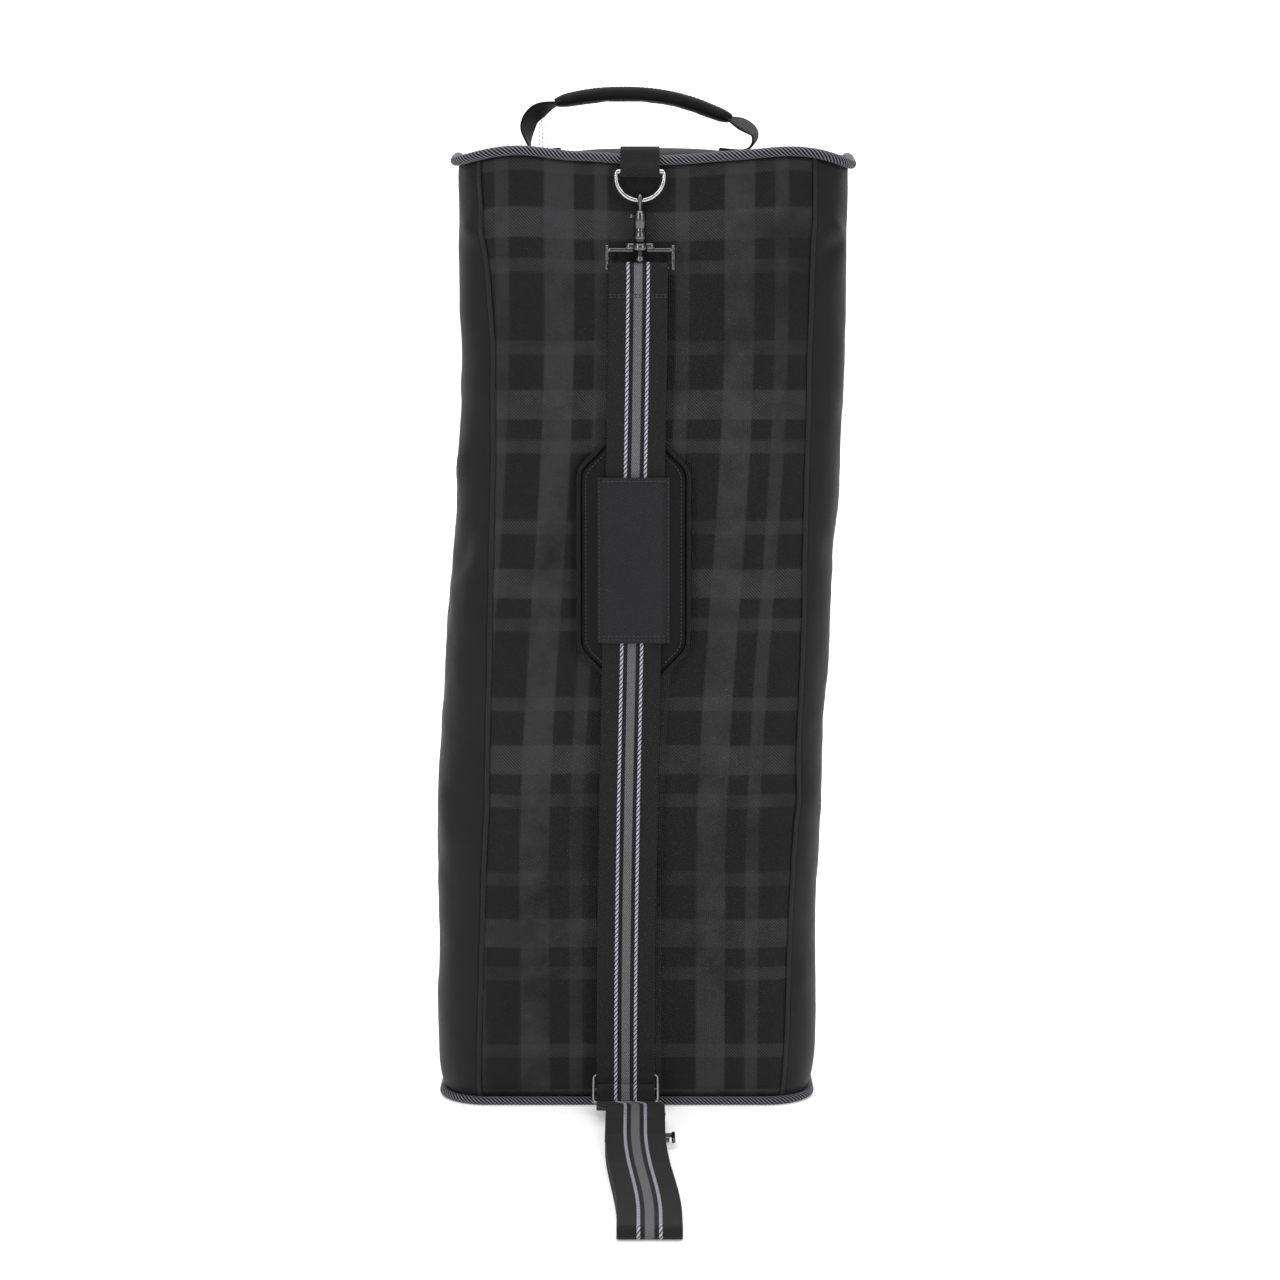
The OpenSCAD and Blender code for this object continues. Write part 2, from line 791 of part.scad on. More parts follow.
// Sleeve of cloth sewn to the pad, with the strap running through it
module pad_sleeve() {
    inner_w = strap_w + 2 * clear;
    inner_t = strap_t + 2 * clear;
    y1 = front_y - pad_out - pad_t;
    seam_w = 4;
    z0 = pad_z + (pad_len - sleeve_len) / 2;
    color([0.13, 0.13, 0.15])
        difference() {
            translate([-inner_w / 2 - seam_w, y1 - inner_t - sleeve_t, z0])
                cube([inner_w + 2 * seam_w, inner_t + sleeve_t, sleeve_len]);
            translate([-inner_w / 2, y1 - inner_t, z0 - 1])
                cube([inner_w, inner_t + 1, sleeve_len + 2]);
        }
}

base_panel();
base_board();
front_panel();
left_gusset();
right_gusset();
rear_panel();
top_panel();
top_board();
top_piping();
bottom_piping();
rear_flap();
zip_tape_bag();
zip_tape_flap();
zip_coil_bag();
zip_coil_flap();
zip_stops();
zip_slider();
zip_pull();
handle_anchors();
handle_webbing();
handle_grip();
ring_tab_top();
d_ring_top();
snap_hook_top();
snap_bolt_top();
bolt_spring_top();
strap_loop_top();
ring_tab_low();
d_ring_low();
snap_hook_low();
snap_bolt_low();
bolt_spring_low();
strap_loop_low();
strap_webbing();
strap_slider();
shoulder_pad();
pad_sleeve();
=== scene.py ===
# %% [markdown]
# # A tall rope bag with a clip-on shoulder strap
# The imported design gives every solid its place. This lesson gives each soft piece its real form and each
# surface its finish. Lengths are in metres; names that end in _mm are turned into metres where they are used.

# %% Load the frame
import math

import bpy
import bmesh
import numpy as np
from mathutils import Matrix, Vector, noise
from mathutils.bvhtree import BVHTree


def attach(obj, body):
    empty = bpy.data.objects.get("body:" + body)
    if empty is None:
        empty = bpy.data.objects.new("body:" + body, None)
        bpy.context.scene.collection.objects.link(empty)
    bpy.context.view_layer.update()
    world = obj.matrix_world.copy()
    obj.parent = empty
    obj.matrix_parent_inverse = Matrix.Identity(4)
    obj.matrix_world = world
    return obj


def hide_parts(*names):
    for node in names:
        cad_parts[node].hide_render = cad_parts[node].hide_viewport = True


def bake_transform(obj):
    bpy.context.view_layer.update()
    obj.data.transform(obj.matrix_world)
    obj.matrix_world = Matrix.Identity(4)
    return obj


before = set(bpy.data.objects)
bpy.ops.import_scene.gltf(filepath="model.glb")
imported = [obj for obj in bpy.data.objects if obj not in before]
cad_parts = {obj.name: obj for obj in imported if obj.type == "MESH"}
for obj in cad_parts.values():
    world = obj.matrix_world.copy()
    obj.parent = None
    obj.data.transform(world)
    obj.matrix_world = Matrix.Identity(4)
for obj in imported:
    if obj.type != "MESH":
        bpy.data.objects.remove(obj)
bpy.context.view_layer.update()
MM = 0.001

# %% [markdown]
# Shader maths reads best as sums. `Value` wraps one socket and turns Python's operators into Math nodes, and
# `Finish` owns one material: it makes any other node from its type, its settings and its inputs.

# %% Small shader language


class Value:
    """One number socket of a material that can stand in a Python expression."""

    def __init__(self, finish, socket):
        self.finish = finish
        self.socket = socket

    def maths(self, operation, *others, clamp=False):
        inputs = dict(enumerate([self, *others]))
        return self.finish.node("ShaderNodeMath", dict(operation=operation, use_clamp=clamp), inputs)

    def __add__(self, other):
        return self.maths("ADD", other)

    def __sub__(self, other):
        return self.maths("SUBTRACT", other)

    def __mul__(self, other):
        return self.maths("MULTIPLY", other)

    def __truediv__(self, other):
        return self.maths("DIVIDE", other)

    def __rsub__(self, other):
        return self.finish.node("ShaderNodeMath", dict(operation="SUBTRACT"), {0: other, 1: self})

    __radd__ = __add__
    __rmul__ = __mul__

    def sin(self):
        return self.maths("SINE")

    def abs(self):
        return self.maths("ABSOLUTE")

    def fract(self):
        return self.maths("FRACT")

    def clamp(self):
        return self.maths("ADD", 0.0, clamp=True)

    def wave(self, pitch):
        """A sine of this wavelength, from 0 to 1."""
        return (self * (2 * math.pi / pitch)).sin() * 0.5 + 0.5


class Finish:
    """One procedural material, built round a Principled shader."""

    def __init__(self, name, roughness=0.8, **sockets):
        self.material = bpy.data.materials.new(name)
        self.material.use_nodes = True
        self.tree = self.material.node_tree
        self.shader = self.tree.nodes["Principled BSDF"]
        self.shader.inputs["Roughness"].default_value = roughness
        for socket, value in sockets.items():
            self.shader.inputs[socket.replace("_", " ")].default_value = value

    def node(self, kind, settings=None, inputs=None, output=0):
        made = self.tree.nodes.new(kind)
        for key, value in (settings or {}).items():
            setattr(made, key, value)
        for key, value in (inputs or {}).items():
            self.feed(made.inputs[key], value)
        return Value(self, made.outputs[output])

    def feed(self, socket, value):
        if isinstance(value, Value):
            self.tree.links.new(value.socket, socket)
        else:
            socket.default_value = value

    def cloth_uv(self):
        """The cloth's own two directions, in metres."""
        split = self.tree.nodes.new("ShaderNodeSeparateXYZ")
        uv = self.node("ShaderNodeUVMap", dict(uv_map="cloth"))
        self.tree.links.new(uv.socket, split.inputs[0])
        return Value(self, split.outputs[0]), Value(self, split.outputs[1])

    def place(self):
        """Object coordinates."""
        return self.node("ShaderNodeTexCoord", output=3)

    def noise(self, scale, detail=3.0, vector=None):
        vector = vector or self.place()
        return self.node("ShaderNodeTexNoise", None, {"Vector": vector, "Scale": scale, "Detail": detail})

    def mix(self, factor, first, second):
        return self.node("ShaderNodeMix", dict(data_type="RGBA"), {0: factor, 6: first, 7: second}, output=2)

    def colour(self, value):
        self.feed(self.shader.inputs["Base Color"], value)

    def roughness(self, value):
        self.feed(self.shader.inputs["Roughness"], value)

    def bump(self, height, distance):
        bumped = self.node("ShaderNodeBump", None, {"Height": height, "Distance": distance})
        self.feed(self.shader.inputs["Normal"], bumped)


def grey(level, tint=1.0):
    """A near-neutral colour; a tint above 1 leans to blue."""
    return (level, level, level * tint, 1.0)


# %% [markdown]
# ## Finishes
# The bag's cloth is a tonal plaid: wide and narrow bands of a lighter yarn cross in both directions, over a
# fine twill. The bands repeat every 115 mm, so they are written once, as a function of the cloth's own UV.

# %% Cloth finishes
PLAID_REPEAT = 0.1155
PLAID_BANDS = [(0.0, 0.019, 1.0), (0.027, 0.0085, 0.75), (0.079, 0.009, 0.7)]
WARP_START = -0.0605
WEFT_START = 0.4634


def bands(coordinate, start, sign=1.0):
    """A mask of the plaid's bands across one direction of the cloth."""
    total = None
    for offset, width, strength in PLAID_BANDS:
        turn = ((coordinate - (start + sign * offset)) / PLAID_REPEAT + 0.5).fract() - 0.5
        edge = ((width / 2 - turn.abs() * PLAID_REPEAT) / 0.0016 + 0.5).clamp() * strength
        total = edge if total is None else total + edge
    return total


def plaid_finish():
    cloth = Finish("plaid_twill", 0.6, Sheen_Weight=0.02, Sheen_Roughness=0.4, Specular_IOR_Level=0.17)
    u, v = cloth.cloth_uv()
    warp = bands(u, WARP_START)
    weft = bands(v, WEFT_START, -1.0)
    twill = (u + v).wave(0.0021)
    rib = u.wave(0.0012)
    crossing = weft * (1 - warp * 0.55)
    level = warp * (0.26 + rib * 0.12) + crossing * (0.10 + twill * 0.42) + (1 - weft) * twill * 0.05
    patch = cloth.noise(8.0, 2.0)
    fleck = cloth.noise(900.0, 2.0)
    streak = cloth.noise(60.0, 2.0)
    level = level * (patch * 2.6 + streak * 1.3 - 1.15).clamp() + (fleck - 0.5) * 0.16
    level = level.clamp()
    cloth.colour(cloth.mix(level, grey(0.0026, 1.10), grey(0.060, 1.05)))
    cloth.roughness(0.50 - level * 0.12)
    cloth.bump(twill * 0.6 + rib * 0.3 + fleck * 0.35, 0.00022)
    return cloth.material


def plain_finish(name, dark, light, pitch, rough=0.62, depth=0.00015, sheen=0.05):
    """A plain weave: over and under in both directions, with a little uneven yarn."""
    cloth = Finish(name, rough, Sheen_Weight=sheen, Sheen_Roughness=0.5, Specular_IOR_Level=0.12)
    u, v = cloth.cloth_uv()
    over = u.wave(pitch) * v.wave(pitch) + (1 - u.wave(pitch)) * (1 - v.wave(pitch))
    yarn = cloth.noise(700.0, 2.0)
    patch = cloth.noise(14.0, 3.0)
    level = (over * 0.4 + yarn * 0.35 + patch * 0.35).clamp()
    cloth.colour(cloth.mix(level, grey(dark, 1.1), grey(light, 1.1)))
    cloth.roughness(rough + 0.1 - level * 0.16)
    cloth.bump(over + yarn * 0.4, depth)
    return cloth.material


plaid = plaid_finish()
side_cloth = plain_finish("side_cloth", 0.0035, 0.013, 0.0011, 0.5)
top_cloth = plain_finish("top_cloth", 0.0035, 0.012, 0.0012)
lining = plain_finish("base_cloth", 0.0035, 0.012, 0.0016, 0.7)
sleeve_cloth = plain_finish("ballistic_weave", 0.0040, 0.024, 0.0024, 0.6, 0.0003)
bound_cloth = plain_finish("bound_edge", 0.0035, 0.012, 0.0013, 0.7)

# %% [markdown]
# Webbing is a herringbone: the twill turns over at the middle of each half. The shoulder strap has a grey
# band down its middle and a channel on both sides of it, where the two pale cords are laid in.

# %% Webbing and cord finishes
STRIPE_HALF = 0.0064
BAND_HALF = 0.0027


def webbing_finish(name, striped):
    web = Finish(name, 0.62, Sheen_Weight=0.05, Specular_IOR_Level=0.12)
    u, v = web.cloth_uv()
    slant = (u.abs() * 1.1 + v).wave(0.0020)
    ribs = v.wave(0.0009)
    yarn = web.noise(1100.0, 2.0)
    level = (slant * 0.62 + yarn * 0.38).clamp()
    colour = web.mix(level, grey(0.003, 1.0), grey(0.018, 0.98))
    if striped:
        middle = ((BAND_HALF - u.abs()) / 0.0003 + 0.5).clamp()
        band_level = ((u * 1.6 + v).wave(0.0021) * 0.75 + yarn * 0.3).clamp()
        colour = web.mix(middle, colour, web.mix(band_level, grey(0.045, 1.05), grey(0.17, 1.05)))
        channel = ((0.0011 - (u.abs() - STRIPE_HALF).abs()) / 0.0003 + 0.5).clamp()
        colour = web.mix(channel, colour, grey(0.003, 1.0))
    web.colour(colour)
    web.bump(slant + ribs * 0.25 + yarn * 0.3, 0.0003)
    return web.material


def twisted_finish(name, dark, pale, share, lead, strands=2.0):
    """Cord whose pale colour lies on the crest of each strand and whose dark colour lies in the grooves between
    strands, as painted shade: U runs round the cord from 0 to 1, V along it in metres.
    """
    cord = Finish(name, 0.55, Sheen_Weight=0.05, Specular_IOR_Level=0.12)
    u, v = cord.cloth_uv()
    turn = (u * strands + v * (strands / lead)).fract()
    # Pale on each strand's crest, where the section's lobes stand out, and dark in the grooves between them: the
    # dark there is painted shade.
    crest_pale_groove_shade_mask = ((share - (turn - 0.5).abs() * 2) / 0.14 + 0.5).clamp()
    fibre = (u * strands * 7.0 + v * (9.0 / lead)).wave(1.0)
    yarn = cord.noise(1500.0, 2.0)
    pale_colour = cord.mix((fibre * 0.5 + yarn * 0.5).clamp(), tuple(c * 0.62 for c in pale[:3]) + (1.0,), pale)
    cord.colour(cord.mix(crest_pale_groove_shade_mask, dark, pale_colour))
    cord.bump(fibre * 0.5 + yarn * 0.5, 0.0002)
    return cord.material


LAVENDER = (0.30, 0.29, 0.36, 1.0)
PALE = (0.56, 0.54, 0.66, 1.0)
webbing = webbing_finish("black_webbing", False)
strap_web = webbing_finish("striped_webbing", True)
PIPING_LEAD = 0.0190
CORD_LEAD = 0.0062
PIPING_STRANDS = 7.0
# The piping's black and lavender yarns are real, but the black is laid only in the grooves between the strands, so
# there it is partly painted shade.
piping_cord = twisted_finish("piping_cord", grey(0.004, 1.1), LAVENDER, 0.30, PIPING_LEAD, PIPING_STRANDS)
# The strap's cords are pale; their dark colour in the twist grooves is painted shade.
stripe_cord = twisted_finish("stripe_cord", grey(0.02, 1.1), PALE, 0.66, CORD_LEAD)

# %% [markdown]
# The metal is plated and tumbled: mirror-like on the D-rings, gunmetal on the snap hooks and the strap slider.
# Fine scratches and duller patches keep it from looking painted.

# %% Metal, board and thread finishes


def metal_finish(name, colour, worn, rough):
    metal = Finish(name, rough, Metallic=1.0)
    patches = metal.noise(160.0, 4.0)
    scratches = metal.noise(1400.0, 2.0)
    level = (patches * 0.7 + scratches * 0.3).clamp()
    metal.colour(metal.mix(level, colour, worn))
    metal.roughness(rough * 0.7 + level * rough * 0.8)
    metal.bump(scratches + patches * 0.5, 0.00004)
    return metal.material


def plain_material(name, dark, light, scale, rough):
    solid = Finish(name, rough)
    grain = solid.noise(scale, 4.0)
    solid.colour(solid.mix(grain, dark, light))
    solid.bump(grain, 0.0001)
    return solid.material


nickel = metal_finish("bright_nickel", (0.62, 0.61, 0.60, 1.0), (0.36, 0.35, 0.35, 1.0), 0.16)
gunmetal = metal_finish("gunmetal", (0.17, 0.165, 0.165, 1.0), (0.075, 0.073, 0.075, 1.0), 0.22)
spring_steel = metal_finish("spring_steel", (0.62, 0.62, 0.64, 1.0), (0.40, 0.40, 0.42, 1.0), 0.25)
board = plain_material("fibre_board", grey(0.02), grey(0.06), 400.0, 0.9)
thread = plain_material("stitch_thread", grey(0.006), grey(0.03), 2500.0, 0.6)
zip_nylon = plain_material("zip_nylon", grey(0.006), grey(0.02), 900.0, 0.45)
zip_cloth = plain_finish("zip_cloth", 0.003, 0.010, 0.0010)
print("finishes", len(bpy.data.materials))

# %% [markdown]
# ## Shared sizes
# The bag's own measures come up again and again, so they are named once. The walls are a rounded rectangle
# drawn up from the floor.

# %% Sizes of the bag
HALF_W = 0.126
HALF_D = 0.065
CORNER = 0.034
WALL_Z0 = 0.0055
WALL_Z1 = 0.6205
FLAT_X = HALF_W - CORNER
FLAT_Y = HALF_D - CORNER
ARC = CORNER * math.pi / 2
PERIMETER = 4 * (FLAT_X + FLAT_Y + ARC)
FRONT_Y = -HALF_D
CLOTH_T = 0.0014


def smoothstep(low, high, value):
    t = np.clip((np.asarray(value, float) - low) / (high - low), 0.0, 1.0)
    return t * t * (3 - 2 * t)


def wander(points, scale, seed):
    """Smooth noise from -1 to 1 at every point of an array of points."""
    flat = np.asarray(points, float).reshape(-1, 3)
    shift = Vector((seed * 3.1, seed * 1.7, seed * 2.3))
    values = [noise.noise(Vector(p) * scale + shift) for p in flat]
    return np.array(values).reshape(np.asarray(points).shape[:-1])


print("perimeter", round(PERIMETER, 4), "m")

# %% [markdown]
# ## Grids, sweeps and turned shapes
# Nearly every piece is a grid of points: a sheet, a band swept along a path, or a ring turned round an axis.
# `grid_mesh` joins such a grid into faces and writes the cloth's UV in metres at each face corner, so a tube
# keeps one closed skin and still has a clean start and end to its pattern.

# %% Mesh helpers


def grid_mesh(name, points, uv=None, wrap_rows=False, wrap_cols=False, caps=False, flip=False):
    points = np.asarray(points, float)
    rows, cols = points.shape[:2]
    faces = []
    corners = []
    for i in range(rows if wrap_rows else rows - 1):
        for j in range(cols if wrap_cols else cols - 1):
            i2, j2 = (i + 1) % rows, (j + 1) % cols
            faces.append((i * cols + j, i * cols + j2, i2 * cols + j2, i2 * cols + j))
            corners.append(((i, j), (i, j + 1), (i + 1, j + 1), (i + 1, j)))
    if caps:
        faces += [tuple(range(cols))[::-1], tuple((rows - 1) * cols + j for j in range(cols))]
        corners += [[(0, j) for j in range(cols)][::-1], [(rows - 1, j) for j in range(cols)]]
    mesh = bpy.data.meshes.new(name)
    mesh.from_pydata(points.reshape(-1, 3).tolist(), [], faces)
    if uv is not None:
        layer = mesh.uv_layers.new(name="cloth")
        flat = [uv[i][j] for face in corners for i, j in face]
        layer.data.foreach_set("uv", np.array(flat, np.float32).ravel())
    if flip:
        mesh.flip_normals()
    mesh.polygons.foreach_set("use_smooth", [True] * len(mesh.polygons))
    mesh.update()
    return place(name, mesh)


def place(name, mesh):
    thing = bpy.data.objects.new(name, mesh)
    bpy.context.scene.collection.objects.link(thing)
    return thing


def outwards(thing):
    """Turns the faces of a closed skin outwards."""
    tool = bmesh.new()
    tool.from_mesh(thing.data)
    bmesh.ops.remove_doubles(tool, verts=tool.verts, dist=1e-7)
    bmesh.ops.recalc_face_normals(tool, faces=tool.faces)
    tool.to_mesh(thing.data)
    tool.free()
    return thing


def thicken(thing, thickness, offset=-1.0):
    solid = thing.modifiers.new("thickness", "SOLIDIFY")
    solid.thickness = thickness
    solid.offset = offset
    return thing


def finish_piece(thing, body, material, slot, *nodes):
    """Paints a piece, hangs it on its body and hides the CAD solids that it stands for."""
    thing.data.materials.clear()
    thing.data.materials.append(material)
    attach(thing, body)
    if nodes:
        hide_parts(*nodes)
    return thing


def joined(name, things):
    """Several meshes as one mesh."""
    tool = bmesh.new()
    for thing in things:
        tool.from_mesh(thing.data)
        bpy.data.objects.remove(thing)
    mesh = bpy.data.meshes.new(name)
    tool.to_mesh(mesh)
    tool.free()
    return place(name, mesh)


def lengths(path):
    steps = np.linalg.norm(np.diff(path, axis=0), axis=1)
    return np.concatenate([[0.0], np.cumsum(steps)])


def rounded(path, times=2):
    """Cuts the corners off an open path, keeping its ends."""
    path = np.asarray(path, float)
    for _ in range(times):
        cut = np.empty((2 * len(path) - 2, path.shape[1]))
        cut[0::2] = path[:-1] * 0.75 + path[1:] * 0.25
        cut[1::2] = path[:-1] * 0.25 + path[1:] * 0.75
        path = np.vstack([path[:1], cut, path[-1:]])
    return path


def resampled(path, step):
    along = lengths(path)
    count = max(2, int(round(along[-1] / step)) + 1)
    wanted = np.linspace(0, along[-1], count)
    return np.stack([np.interp(wanted, along, path[:, k]) for k in range(path.shape[1])], axis=1)


def tangents(path, closed=False):
    if closed:
        ahead, behind = np.roll(path, -1, 0), np.roll(path, 1, 0)
    else:
        ahead, behind = np.vstack([path[1:], path[-1:]]), np.vstack([path[:1], path[:-1]])
    t = ahead - behind
    return t / np.maximum(np.linalg.norm(t, axis=1, keepdims=True), 1e-12)


def sweep(name, path, section, side, closed=False, scale=None, lobes=None):
    """A tube: section is (across, out) points, side gives the across direction at every path point.
    lobes = (strands, lead, depth) twists a rope's strands round it."""
    path = np.asarray(path, float)
    t = tangents(path, closed)
    side = np.broadcast_to(np.asarray(side, float), path.shape)
    side = side - t * (side * t).sum(1, keepdims=True)
    side = side / np.linalg.norm(side, axis=1, keepdims=True)
    up = np.cross(side, t)
    section = np.asarray(section, float)
    along = lengths(np.vstack([path, path[:1]]) if closed else path)
    size = np.ones((len(path), 1)) if scale is None else np.asarray(scale)[:, None]
    if lobes:
        strands, lead, depth = lobes
        turn = np.arange(len(section))[None] / len(section) + along[:len(path), None] / lead
        size = size * (1 + depth * np.cos(2 * math.pi * (strands * turn - 0.5)))
    spokes = side[:, None] * section[None, :, :1] + up[:, None] * section[None, :, 1:]
    points = path[:, None] + spokes * size[..., None]
    turn = np.linspace(0, 1, len(section) + 1)
    uv = np.stack(np.meshgrid(turn, along), axis=-1)
    made = grid_mesh(name, points, uv, wrap_rows=closed, wrap_cols=True, caps=not closed)
    return outwards(made)


def circle_section(radius, count=12, flat=1.0):
    a = np.arange(count) * 2 * math.pi / count
    return np.stack([np.cos(a) * radius, np.sin(a) * radius * flat], axis=1)


def slab_section(width, height, bevel, steps=3):
    """A rounded rectangle, centred."""
    points = []
    for k, (sx, sy) in enumerate([(1, 1), (-1, 1), (-1, -1), (1, -1)]):
        for n in range(steps + 1):
            a = math.pi / 2 * (k + n / steps)
            points.append((sx * (width / 2 - bevel) + bevel * math.cos(a),
                           sy * (height / 2 - bevel) + bevel * math.sin(a)))
    return np.array(points)


def turned(name, profile, centre, axis, count=32):
    """A shape turned round an axis: profile is (along, radius) points."""
    axis = Vector(axis).normalized()
    first = axis.orthogonal().normalized()
    second = axis.cross(first)
    points = []
    for along, radius in profile:
        ring = []
        for k in range(count):
            a = 2 * math.pi * k / count
            ring.append(Vector(centre) + axis * along + (first * math.cos(a) + second * math.sin(a)) * radius)
        points.append(ring)
    return outwards(grid_mesh(name, np.array(points), wrap_cols=True, caps=True))


print("mesh helpers ready")

# %% [markdown]
# ## The walls
# The real walls are one soft tube of cloth that hangs between two corded rims. The tube leans a little, is
# pinched where it was folded, and pulls down from the ring tab. The wall is a function of the distance round
# the bag and the height, so every panel and seam that is cut from it fits its neighbour exactly.

# %% Surface of the walls
FOOT_TUCK = 0.0050
LEAN = 0.0175
LEAN_LOW = -0.0088
CREASES = [
    # from (round, height) to (round, height), width, depth
    (-0.012, 0.598, -0.078, 0.500, 0.007, -0.0026),
    (0.012, 0.598, 0.070, 0.512, 0.007, -0.0024),
    (-0.020, 0.585, -0.050, 0.430, 0.009, 0.0022),
    (0.024, 0.575, 0.062, 0.440, 0.009, -0.0020),
    (-0.090, 0.560, -0.045, 0.520, 0.006, 0.0012),
    (0.095, 0.560, 0.050, 0.470, 0.007, 0.0011),
    (-0.135, 0.585, -0.100, 0.560, 0.006, 0.0026),
    (-0.150, 0.415, -0.098, 0.428, 0.008, 0.0014),
    (-0.140, 0.340, -0.095, 0.400, 0.010, -0.0024),
    (0.100, 0.585, 0.140, 0.560, 0.006, 0.0028),
    (0.100, 0.545, 0.150, 0.585, 0.007, -0.0018),
    (0.100, 0.195, 0.150, 0.215, 0.010, 0.0012),
    (0.100, 0.075, 0.150, 0.090, 0.010, 0.0008),
    (-0.100, 0.150, -0.140, 0.240, 0.010, 0.0015),
    (-0.060, 0.245, -0.090, 0.120, 0.012, 0.0026),
    (0.045, 0.270, 0.092, 0.120, 0.012, 0.0026),
    (-0.085, 0.045, -0.040, 0.105, 0.009, -0.0026),
    (0.080, 0.040, 0.040, 0.110, 0.009, -0.0026),
    (-0.030, 0.030, -0.020, 0.120, 0.008, 0.0018),
    (0.032, 0.030, 0.030, 0.140, 0.008, 0.0018),
]


def lean(z):
    """How far the bag's middle line stands to the side at each height."""
    return LEAN_LOW + LEAN * smoothstep(0.15, 0.52, z)


def hump(value, height, middle, width):
    """A smooth rise of this height, round a middle."""
    return height * np.exp(-((value - middle) / width) ** 2)


def rim_wave(s):
    """How far the upper rim rises or dips: the tab pulls its middle down and the corners sag."""
    turn = (np.asarray(s, float) + PERIMETER / 2) % PERIMETER - PERIMETER / 2
    spot = np.stack([turn * 0.7, 0 * turn, 0 * turn], axis=-1)
    front_side = 1 - smoothstep(0.12, 0.22, np.abs(turn))
    dip = hump(turn, -0.0040, 0.0, 0.045) + hump(np.abs(turn), 0.0022, 0.088, 0.024)
    corner = hump(np.abs(turn), -0.0032, 0.135, 0.022) + hump(turn, -0.0030, 0.140, 0.030)
    return dip * front_side + corner + wander(spot, 38.0, 31) * 0.0014


def foot_tuck(z):
    """How far the wall turns in above the floor, where the base pulls on it."""
    return FOOT_TUCK * np.exp(-(np.asarray(z, float) - WALL_Z0) / 0.011)


def plain_wall(s):
    """Point and outward direction of the undistorted wall at distance s round from the front's middle."""
    s = np.asarray(s, float)
    turn = (s + PERIMETER / 2) % PERIMETER - PERIMETER / 2
    side = np.where(turn < 0, -1.0, 1.0)
    a = np.abs(turn)
    a1, a2, a3, a4 = FLAT_X, FLAT_X + ARC, FLAT_X + ARC + 2 * FLAT_Y, FLAT_X + 2 * ARC + 2 * FLAT_Y
    first = np.clip((a - a1) / CORNER, 0, math.pi / 2)
    second = np.clip((a - a3) / CORNER, 0, math.pi / 2)
    angle = first + second
    nx, ny = np.sin(angle), -np.cos(angle)
    x = np.where(a < a1, a, np.where(a < a4, FLAT_X, FLAT_X - (a - a4)))
    y = np.where(a < a2, -FLAT_Y, np.where(a < a3, -FLAT_Y + (a - a2), FLAT_Y))
    return side * (x + CORNER * nx), y + CORNER * ny, side * nx, ny


def wall_depth(s, z):
    """How far the cloth stands out from the plain wall."""
    a = np.abs((np.asarray(s) + PERIMETER / 2) % PERIMETER - PERIMETER / 2)
    mid = np.sin(math.pi * np.clip((z - WALL_Z0) / (WALL_Z1 - WALL_Z0), 0, 1)) ** 0.6
    spot = np.stack(np.broadcast_arrays(s, z, 0 * s), axis=-1)
    rim = np.exp(-np.minimum(z - WALL_Z0, WALL_Z1 - z) / 0.016)
    slack = wander(spot, 11.0, 1) * 0.0034 + wander(spot, 30.0, 2) * 0.0017
    slack = slack + wander(spot, 75.0, 5) * 0.0006
    pucker = wander(spot * np.array([1.0, 0.25, 1.0]), 95.0, 3) * 0.0015 * rim
    swell = hump(a - 0.006 * np.sin(z * 9), 0.0042, 0.066, 0.022) * (0.75 + wander(spot, 14.0, 7) * 0.9)
    total = (slack + swell) * mid + pucker
    for s0, z0, s1, z1, width, depth in CREASES:
        length = math.hypot(s1 - s0, z1 - z0)
        ux, uz = (s1 - s0) / length, (z1 - z0) / length
        along = ((s - s0) * ux + (z - z0) * uz) / length
        curve = 0.004 * np.sin(along * 2.6)
        off = (s - s0) * -uz + (z - z0) * ux - curve
        fade = np.clip(along * 3, 0, 1) * np.clip((1 - along) * 2, 0, 1)
        total = total + depth * np.exp(-(off / (width * 1.25)) ** 2) * fade ** 1.5 * 1.5
    hold = 1 - 0.95 * np.exp(-np.minimum(z - WALL_Z0, WALL_Z1 - z) / 0.007)
    strap_hold = smoothstep(0.037, 0.060, a)
    total = total * hold
    middle = np.minimum(total, 0.0) * 0.6
    return total * strap_hold + middle * (1 - strap_hold)


def wall_point(s, z, out=0.0):
    """Points on the leaning, creased wall; out lifts them off the cloth."""
    s, z = np.broadcast_arrays(np.asarray(s, float), np.asarray(z, float))
    x, y, nx, ny = plain_wall(s)
    depth = wall_depth(s, z) + out - foot_tuck(z)
    lift = rim_wave(s) * np.clip((z - 0.45) / (WALL_Z1 - 0.45), 0, 1) ** 2
    return np.stack([x + nx * depth + lean(z), y + ny * depth, z + lift], axis=-1)


def wall_normal(s):
    _, _, nx, ny = plain_wall(s)
    return np.stack([nx, ny, 0 * nx], axis=-1)


print("wall width at half height", np.ptp(wall_point(np.linspace(-0.3, 0.3, 60), 0.3)[:, 0]).round(4))

# %% [markdown]
# The front panel and the two gussets meet in seams that wander a few millimetres, because the filled tube has
# slid round on its rims. Each panel is a grid between its own two seams, with the cloth's UV in metres.

# %% Front panel and gussets
ROW_STEP = 0.0042
HEIGHTS = np.linspace(WALL_Z0, WALL_Z1, int((WALL_Z1 - WALL_Z0) / ROW_STEP))
REAR_SEAM = PERIMETER / 2 - 0.10426


def seam_line(side, z):
    """Distance round the bag of a front seam at each height."""
    slide = np.interp(z, [0.0, 0.1, 0.2, 0.3, 0.4, 0.62], [0.003, 0.0062, 0.0095, 0.0065, 0.0015, -0.005])
    half = 0.1015 + 0.0065 * smoothstep(0.48, 0.62, z)
    return side * half + slide


